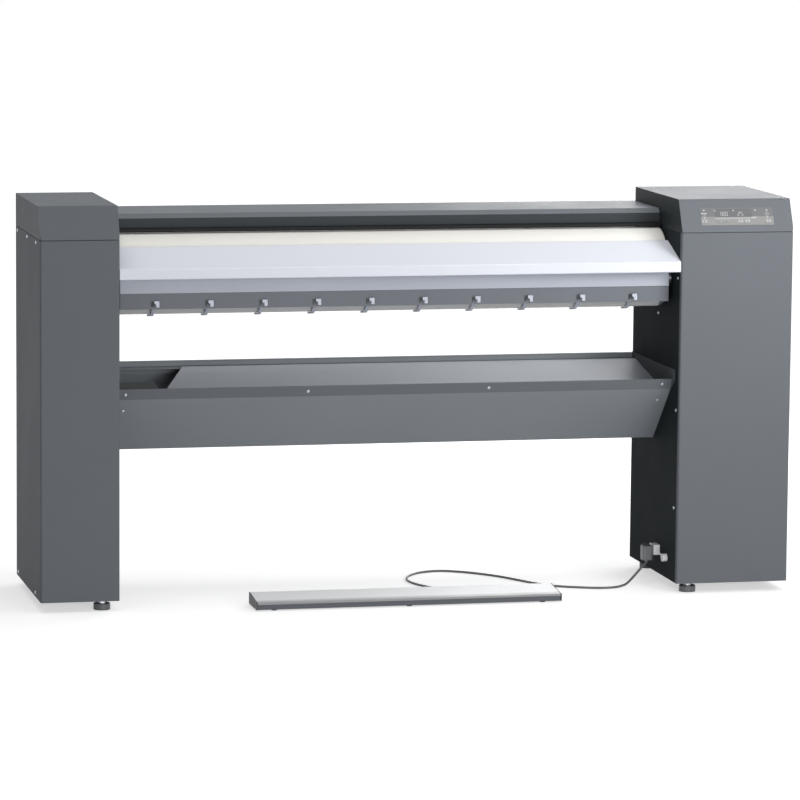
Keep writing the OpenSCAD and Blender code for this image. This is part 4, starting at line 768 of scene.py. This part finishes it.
def screw_places():
    """Every visible screw head as a pair: its foot and the way it faces."""
    places = []
    for side, x in ((-1, 0.0), (1, TOTAL_W)):
        for share in SIDE_SCREW_SHARES:
            places.append((at(x, share * COLUMN_D, SEAM_Z - SCREW_EDGE), Vector((side, 0, 0))))
        for share in SIDE_LOW_SHARES:
            places.append((at(x, share * COLUMN_D, FOOT_GAP + SCREW_LOW_RISE),
                           Vector((side, 0, 0))))
    for side, x in ((-1, WALL_R), (1, WALL_L)):
        for y_share, z_share in WALL_SCREW_SHARES:
            places.append((at(x, y_share * COLUMN_D, z_share * SEAM_Z), Vector((side, 0, 0))))
    runs = [(WALL_L + WORK_W * share, TRAY_FRONT, TRAY_FOLD, BAND_SCREW_SHARE)
            for share in TRAY_SCREW_SHARES]
    for x in (WALL_L + CORNER_SCREW_IN, WALL_R - CORNER_SCREW_IN):
        runs += [(x, TRAY_FRONT, TRAY_FOLD, BAND_SCREW_SHARE),
                 (x, TRAY_FOLD, TRAY_FOOT, LOW_SCREW_SHARE)]
    for x, a, b, share in runs:
        along = Vector((b[0] - a[0], b[1] - a[1])).normalized()
        foot = [a[i] + share * (b[i] - a[i]) for i in (0, 1)]
        places.append((at(x, *foot), Vector((0, along.y, -along.x))))
    return places


def fit_screws():
    """A head on every screw place, each turned at random by less than one side of its socket."""
    places = screw_places()
    head = screw_head()
    screws = new_piece("casing_and_tray_screws", [foot for foot, _ in places], [], SCREW_STEEL)
    facing = screws.data.attributes.new("facing", "FLOAT_VECTOR", "POINT")
    for i, (_, way) in enumerate(places):
        facing.data[i].vector = way
    rule = Pattern("screw_row", from_points=True, Head=head, Seed=7, Most=math.pi / 3,
                   Finish=SCREW_STEEL)
    way = rule.node("GeometryNodeInputNamedAttribute", {"Name": "facing"},
                    data_type="FLOAT_VECTOR").outputs[0]
    upright = rule.node("FunctionNodeAlignRotationToVector", {"Vector": way}, axis="Z").outputs[0]
    chance = rule.node("FunctionNodeRandomValue", {"Seed": rule.given["Seed"],
                                                   3: rule.given["Most"]}, data_type="FLOAT")
    spin = rule.node("FunctionNodeAxisAngleToRotation", {"Axis": (0, 0, 1),
                                                         "Angle": chance.outputs[1]}).outputs[0]
    turned = rule.node("FunctionNodeRotateRotation", {"Rotation": upright, "Rotate By": spin},
                       rotation_space="LOCAL").outputs[0]
    rule.bake(screws, rule.node("GeometryNodeInstanceOnPoints", {
        "Points": rule.given["Points"], "Instance": rule.shape_of("Head"), "Rotation": turned}))
    bpy.data.objects.remove(head)
    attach(screws, "machine")
    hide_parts("panel_screws")


def add_prism(shape, outline, offset, bevel):
    """Adds a closed prism, with its edges broken, to a bmesh."""
    made = bmesh.new()
    foot = [made.verts.new(p) for p in outline]
    top = [made.verts.new(Vector(p) + offset) for p in outline]
    made.faces.new(foot)
    made.faces.new(top[::-1])
    for i in range(len(foot)):
        n = (i + 1) % len(foot)
        made.faces.new((foot[i], top[i], top[n], foot[n]))
    bmesh.ops.recalc_face_normals(made, faces=made.faces)
    bmesh.ops.bevel(made, geom=made.edges[:], offset=bevel, segments=2, profile=0.6,
                    affect="EDGES", clamp_overlap=True)
    part = bpy.data.meshes.new("part")
    made.to_mesh(part)
    made.free()
    shape.from_mesh(part)
    bpy.data.meshes.remove(part)


def rounded_path(points, radius, steps=5):
    """A polyline in (y, z) with its bends rounded, each within a share of the runs beside it."""
    most_share = 0.45
    line = [Vector(points[0])]
    for a, b, c in zip(points, points[1:], points[2:]):
        a, b, c = Vector(a), Vector(b), Vector(c)
        back, ahead = (a - b), (c - b)
        reach = min(radius, most_share * back.length, most_share * ahead.length)
        p, q = b + back.normalized() * reach, b + ahead.normalized() * reach
        line += [(1 - t) ** 2 * p + 2 * t * (1 - t) * b + t * t * q
                 for t in (k / steps for k in range(steps + 1))]
    return line + [Vector(points[-1])]


def strip_outline(line, thick):
    """The closed outline of a strip of the given thickness about a line in (y, z)."""
    one, other = [], []
    for i, point in enumerate(line):
        ahead = heading(line, i)
        side = Vector((-ahead.y, ahead.x)) * thick / 2
        one.append(point + side)
        other.append(point - side)
    return one + other[::-1]


CLAMP_COUNT, CLAMP_PITCH = 10, 135.1
CLAMP_X, CLAMP_Z = (WALL_L + WALL_R) / 2, PIVOT_Z - 43.7
# Clamp head, in mm: half its width and height, its notch, its place on the cover, its edges
CLAMP_W, CLAMP_H, NOTCH_X, NOTCH_Z = 6.5, 8.0, -1.5, 1.0
CLAMP_OUT, CLAMP_T, CLAMP_EDGE = 5.0, 4.7, 0.7
# Strap: its width, sheet, bends and edges, its start and knee, and its lower points as shares
STRAP_W, STRAP_T, STRAP_BEND, STRAP_EDGE = 8.0, 2.8, 7.0, 0.35
STRAP_OUT, KNEE_IN, KNEE_DROP = 2.5, 24.0, 45.0
STRAP_SHARES = ((-0.645, -1.035), (-0.369, -1.071))
# Cross bar: half its length, its radius, chamfer and sides
CROSS_HALF, CROSS_R, CROSS_EDGE, CROSS_SIDES = 8.0, 2.5, 0.6, 20


def clamp_shape():
    """One clamp at the row's middle: a notched head on the cover, a bent strap, a cross bar."""
    shape = bmesh.new()
    head = [(NOTCH_X, -CLAMP_H), (CLAMP_W, -CLAMP_H), (CLAMP_W, CLAMP_H), (-CLAMP_W, CLAMP_H),
            (-CLAMP_W, NOTCH_Z), (NOTCH_X, NOTCH_Z)]
    add_prism(shape, [at(CLAMP_X + x, COVER_Y - CLAMP_OUT, CLAMP_Z + z) for x, z in head],
              Vector((0, CLAMP_T * MM, 0)), CLAMP_EDGE * MM)
    points = [(COVER_Y - STRAP_OUT, CLAMP_Z), (COVER_Y + KNEE_IN, PIVOT_Z - KNEE_DROP)]
    points += [(TROUGH_Y + y * PLATE_OUT_R, TROUGH_Z + z * PLATE_OUT_R) for y, z in STRAP_SHARES]
    line = rounded_path(points, STRAP_BEND)
    add_prism(shape, [at(CLAMP_X - STRAP_W / 2, *p) for p in strip_outline(line, STRAP_T)],
              Vector((STRAP_W * MM, 0, 0)), STRAP_EDGE * MM)
    y, z = line[-1]
    near = CROSS_HALF - CROSS_EDGE
    bar = tube("cross_bar", [at(CLAMP_X + x, y, z) for x in (-CROSS_HALF, -near, near, CROSS_HALF)],
               [r * MM for r in (CROSS_R - CROSS_EDGE, CROSS_R, CROSS_R, CROSS_R - CROSS_EDGE)],
               CLAMP_STEEL, CROSS_SIDES)
    shape.from_mesh(bar.data)
    bpy.data.objects.remove(bar)
    return piece_of("clamp", shape, CLAMP_STEEL)


def fit_clamps():
    clamp = clamp_shape()
    clamps = new_piece("cover_clamps", [], [], CLAMP_STEEL)
    rule = Pattern("clamp_row", Clamp=clamp, Count=CLAMP_COUNT, Pitch=CLAMP_PITCH * MM,
                   Start=(-(CLAMP_COUNT - 1) / 2 * CLAMP_PITCH * MM, 0.0, 0.0), Finish=CLAMP_STEEL)
    rule.bake(clamps, rule.row(rule.shape_of("Clamp")))
    bpy.data.objects.remove(clamp)
    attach(clamps, "trough")
    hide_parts("trough_clamps")


# Springs: number, first and last as shares of the bar's length, seat in the bar; coil and wire
SPRING_COUNT, FIRST_SHARE, LAST_SHARE = 4, 0.14, 0.86
SPRING_Y, SPRING_SEAT_Z, SPRING_LIFT = BAR_Y0 + 26, 5.1, 0.9
COIL_R, WIRE_R, COIL_RISE, COIL_TURNS = 4.0, 0.8, 14.0, 4.5
COIL_STEPS, WIRE_SIDES = 24, 10


def fit_springs():
    """Four coil springs under the foot bar's tread."""
    pitch = (LAST_SHARE - FIRST_SHARE) / (SPRING_COUNT - 1) * BAR_L
    first = at(BAR_X0 + FIRST_SHARE * BAR_L, SPRING_Y, SPRING_SEAT_Z + SPRING_LIFT)
    springs = new_piece("tread_springs", [], [], ZINC)
    rule = Pattern("spring_row", Count=SPRING_COUNT, Pitch=pitch * MM, Start=tuple(first),
                   Turns=COIL_TURNS, Coil=COIL_R * MM, Wire=WIRE_R * MM, Rise=COIL_RISE * MM,
                   Finish=ZINC)
    coil = rule.node("GeometryNodeCurveSpiral", {
        "Resolution": COIL_STEPS, "Rotations": rule.given["Turns"],
        "Start Radius": rule.given["Coil"], "End Radius": rule.given["Coil"],
        "Height": rule.given["Rise"]}).outputs[0]
    wire = rule.node("GeometryNodeCurvePrimitiveCircle", {"Resolution": WIRE_SIDES,
                                                          "Radius": rule.given["Wire"]}).outputs[0]
    swept = rule.node("GeometryNodeCurveToMesh", {"Curve": coil, "Profile Curve": wire,
                                                  "Fill Caps": True}).outputs[0]
    rule.bake(springs, rule.row(swept))
    tidy_normals(springs)
    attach(springs, "machine")
    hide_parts("foot_bar_springs")
    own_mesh(springs)


# The plug's lid: its ends along x, half its width, its sheet, how far it is sunk, its edges
LID_X0, LID_X1, LID_HALF, LID_T, LID_SINK, LID_EDGE = -11.0, 7.0, 11.0, 2.6, 0.2, 0.8
# Its screws: place, radius, foot over the plug's top, height, edges and sides
LID_SCREW_X, LID_SCREW_Y, LID_SCREW_R = -2.0, 6.0, 2.6
LID_SCREW_FOOT, LID_SCREW_H, LID_SCREW_EDGE, LID_SCREW_SIDES = 2.3, 1.3, 0.3, 12


def detail_plug():
    """The clamp lid on top of the plug, with its two screws."""
    shape = bmesh.new()
    corners = ((LID_X0, -LID_HALF), (LID_X1, -LID_HALF), (LID_X1, LID_HALF), (LID_X0, LID_HALF))
    add_prism(shape, [at(PLUG_X + x, PLUG_Y + y, PLUG_TOP - LID_SINK) for x, y in corners],
              Vector((0, 0, LID_T * MM)), LID_EDGE * MM)
    turns = [2 * math.pi * k / LID_SCREW_SIDES for k in range(LID_SCREW_SIDES)]
    for y in (-LID_SCREW_Y, LID_SCREW_Y):
        ring = [at(PLUG_X + LID_SCREW_X + LID_SCREW_R * math.cos(turn),
                   PLUG_Y + y + LID_SCREW_R * math.sin(turn), PLUG_TOP + LID_SCREW_FOOT)
                for turn in turns]
        add_prism(shape, ring, Vector((0, 0, LID_SCREW_H * MM)), LID_SCREW_EDGE * MM)
    lid = piece_of("plug_lid", shape, BLACK_PLASTIC)
    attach(lid, "machine")


# Print on the control panel: how far foil and keys stand out, the print's height and root
FOIL_OUT, KEY_OUT, PRINT_T, PRINT_SINK = 0.6, 1.6, 0.12, 0.05
# Bars and dots: left, lower, right and upper edge, from the panel's lower left corner
PANEL_BOXES = [(2, 30, 17, 33.5), (8, 38.5, 12, 42.5), (8, 18, 12, 21), (36.5, 37.5, 39.5, 41.5),
               (85, 37.5, 88.5, 41.5), (132, 18, 146, 21.5), (142, 37.5, 145.5, 41.5),
               (172, 37.5, 176, 41.5), (172, 18.5, 176, 22.5)]
SCALE_COUNT, SCALE_U, SCALE_PITCH, SCALE_W, SCALE_V0, SCALE_V1 = 14, 38, 6.6, 5.4, 17.3, 20.0
# Rings: middle, outer radius and width
PANEL_RINGS = [(10, 24.8, 2.6, 0.9), (174, 29.5, 4.2, 1.2)]
# Numbers: left edge and figures; and every figure's lower edge, pitch, size and bar
PANEL_NUMBERS = [(48, "180"), (97, "25")]
FIGURE_V, FIGURE_PITCH, FIGURE_W, FIGURE_H, FIGURE_BAR = 24.6, 8.4, 6.4, 11.5, 1.9
# Middle of the keys above the panel's lower edge
KEY_V = 10.5


def on_panel(u, v, out):
    """A point of the slanted panel: u along it and v up it from its lower left corner, in mm."""
    v += PANEL_V
    return at(PANEL_X + u, v * math.sin(SLANT) - out * math.cos(SLANT),
              SEAM_Z + CAP_LIP + v * math.cos(SLANT) + out * math.sin(SLANT))


def box_mark(u0, v0, u1, v1):
    """A mark is a list of loops; a box has one."""
    return [[(u0, v0), (u1, v0), (u1, v1), (u0, v1)]]


def ring_mark(u, v, r, width, sides=24):
    """A flat ring: its outer loop and its inner one."""
    turns = [2 * math.pi * k / sides for k in range(sides)]
    return [[(u + q * math.cos(a), v + q * math.sin(a)) for a in turns] for q in (r, r - width)]


def figure_marks(figure, u, v, w, h, t):
    """One figure of seven bars, with its lower left corner at (u, v)."""
    bars = {"a": (t, h - t, w - t, h), "b": (w - t, h / 2, w, h), "c": (w - t, 0, w, h / 2),
            "d": (t, 0, w - t, t), "e": (0, 0, t, h / 2), "f": (0, h / 2, t, h),
            "g": (t, (h - t) / 2, w - t, (h + t) / 2)}
    lit = {"0": "abcdef", "1": "bc", "2": "abged", "5": "afgcd", "8": "abcdefg"}[figure]
    gap_share = 0.12
    gap = gap_share * t
    return [box_mark(u + a + gap, v + b + gap, u + c - gap, v + d - gap)
            for a, b, c, d in (bars[name] for name in lit)]


def shifted(mark, u, v):
    return [[(u + x, v + y) for x, y in loop] for loop in mark]


def print_marks(name, marks, body, finish, out):
    """Raised print on the panel or on a key: each mark a thin closed prism or ring."""
    vertices, faces = [], []
    for mark in marks:
        first, n = len(vertices), len(mark[0])
        for loop in mark:
            for level in (out - PRINT_SINK, out + PRINT_T):
                vertices += [on_panel(u, v, level) for u, v in loop]
        walls = [(first, first + n)]
        if len(mark) == 1:
            faces.append(tuple(first + k for k in range(n))[::-1])
            faces.append(tuple(first + n + k for k in range(n)))
        else:
            walls += [(first + 3 * n, first + 2 * n), (first + n, first + 3 * n),
                      (first + 2 * n, first)]
        for a, b in walls:
            faces += [(a + k, a + (k + 1) % n, b + (k + 1) % n, b + k) for k in range(n)]
    piece = new_piece(name, vertices, faces, finish, smooth=False)
    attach(piece, body)


def print_panel():
    marks = [box_mark(*edges) for edges in PANEL_BOXES]
    for k in range(SCALE_COUNT):
        u = SCALE_U + SCALE_PITCH * k
        marks.append(box_mark(u, SCALE_V0, u + SCALE_W, SCALE_V1))
    marks += [ring_mark(*ring) for ring in PANEL_RINGS]
    for u, text in PANEL_NUMBERS:
        for k, figure in enumerate(text):
            marks += figure_marks(figure, u + FIGURE_PITCH * k, FIGURE_V, FIGURE_W, FIGURE_H,
                                  FIGURE_BAR)
    print_marks("panel_marks", marks, "machine", PALE_PRINT, FOIL_OUT)


# Signs about a key's middle, in mm
START_SIGN = [[[(-2.4, -2.4), (2.8, 0), (-2.4, 2.4)]]]
DOWN_SIGN = [[[(-2.6, 1.4), (0, -2), (2.6, 1.4)]]]
UP_SIGN = [[[(-2.6, -1.4), (2.6, -1.4), (0, 2)]]]
POWER_SIGN = [ring_mark(0, 0, 2.4, 0.7), box_mark(-0.35, 2.6, 0.35, 3.5)]
# Each key's place along the panel as a share of its width, and its sign
KEY_SIGN_SHARES = {
    "key_start": (0.047, START_SIGN),
    "key_temp_down": (0.253, DOWN_SIGN),
    "key_temp_up": (0.347, UP_SIGN),
    "key_speed_down": (0.542, DOWN_SIGN),
    "key_speed_up": (0.637, UP_SIGN),
    "key_power": (0.926, POWER_SIGN),
}


def print_keys():
    """A plain sign on every key: an arrow to start, up and down signs, a ring with a bar."""
    for body, (share, sign) in KEY_SIGN_SHARES.items():
        marks = [shifted(mark, PANEL_W * share, KEY_V) for mark in sign]
        print_marks(body + "_sign", marks, body, DARK_PRINT, KEY_OUT)


WHITE, FLOOR_WHITE = (1, 1, 1, 1), (0.85, 0.85, 0.85, 1)
AMBIENT = 0.16
# The floor glows from FLOOR_GLOW, within FADE_FROM metres of the middle, up to white at FADE_TO
FLOOR_HALF, FLOOR_GLOW, FADE_FROM, FADE_TO = 14, 0.56, 1.6, 4.0


def backdrop_rays(tree):
    """1 for rays that see the backdrop: camera, glossy and transmission rays."""
    path = add_node(tree, "ShaderNodeLightPath")
    total = path.outputs["Is Camera Ray"]
    for kind in ("Is Glossy Ray", "Is Transmission Ray"):
        total = add_node(tree, "ShaderNodeMath", {0: total, 1: path.outputs[kind]},
                         operation="ADD", use_clamp=True).outputs[0]
    return total


def lay_floor():
    """A white floor that keeps the shadow near the object and fades into the white backdrop."""
    finish = bpy.data.materials.new("studio_floor")
    finish.use_nodes = True
    tree = finish.node_tree
    tree.nodes.clear()
    place = add_node(tree, "ShaderNodeTexCoord").outputs["Object"]
    far = add_node(tree, "ShaderNodeVectorMath", {0: place}, operation="LENGTH").outputs["Value"]
    fade = add_node(tree, "ShaderNodeMapRange", {
        "Value": far, "From Min": FADE_FROM, "From Max": FADE_TO, "To Min": FLOOR_GLOW,
        "To Max": 1.0}).outputs[0]
    strength = add_node(tree, "ShaderNodeMath", {0: fade, 1: backdrop_rays(tree)},
                        operation="MULTIPLY").outputs[0]
    glow = add_node(tree, "ShaderNodeEmission", {"Color": WHITE, "Strength": strength}).outputs[0]
    matt = add_node(tree, "ShaderNodeBsdfDiffuse", {"Color": FLOOR_WHITE}).outputs[0]
    surface = add_node(tree, "ShaderNodeAddShader", {0: matt, 1: glow}).outputs[0]
    add_node(tree, "ShaderNodeOutputMaterial", {"Surface": surface})
    half = FLOOR_HALF
    floor = new_piece("studio_floor", [(-half, -half, 0), (half, -half, 0), (half, half, 0),
                                       (-half, half, 0)], [(0, 1, 2, 3)], finish, smooth=False)


def set_world():
    world = bpy.data.worlds.new("studio")
    scene.world = world
    world.use_nodes = True
    tree = world.node_tree
    back = tree.nodes["Background"]
    strength = add_node(tree, "ShaderNodeMapRange", {
        "Value": backdrop_rays(tree), "To Min": AMBIENT, "To Max": 1.0}).outputs["Result"]
    tree.links.new(strength, back.inputs["Strength"])
    back.inputs["Color"].default_value = WHITE


def light_panel(name, place, target, width, height, power, spread=180):
    lamp = bpy.data.lights.new(name, "AREA")
    lamp.shape = "RECTANGLE"
    lamp.size, lamp.size_y = width, height
    lamp.energy = power
    lamp.spread = math.radians(spread)
    made = bpy.data.objects.new(name, lamp)
    scene.collection.objects.link(made)
    made.location = place
    made.rotation_euler = (Vector(target) - Vector(place)).to_track_quat("-Z", "Y").to_euler()


def light_studio():
    light_panel("key_softbox", place=(0.9, -6.5, 1.15), target=(0, 0, 0.5),
                width=3.2, height=1.8, power=156)
    light_panel("low_softbox", place=(0.0, -3.2, 0.3), target=(0, 0, 0.45),
                width=2.6, height=0.4, power=14)
    light_panel("top_softbox", place=(0.0, -0.2, 4.0), target=(0, 0, 0.6),
                width=4.5, height=2.5, power=64)
    light_panel("right_softbox", place=(1.3, -1.7, 1.3), target=(0.83, -0.2, 0.95),
                width=0.6, height=0.5, power=3.8, spread=80)
    light_panel("rear_softbox", place=(1.95, 2.8, 1.6), target=(0.7, 0.1, 0.95),
                width=2.3, height=1.4, power=50)


place_camera()
finish_nodes()
lay_cord()
wrap_cloth()
wrap_felt()
lay_mat()
fit_screws()
fit_clamps()
fit_springs()
detail_plug()
print_panel()
print_keys()
lay_floor()
set_world()
light_studio()
scene.view_settings.view_transform = "Standard"
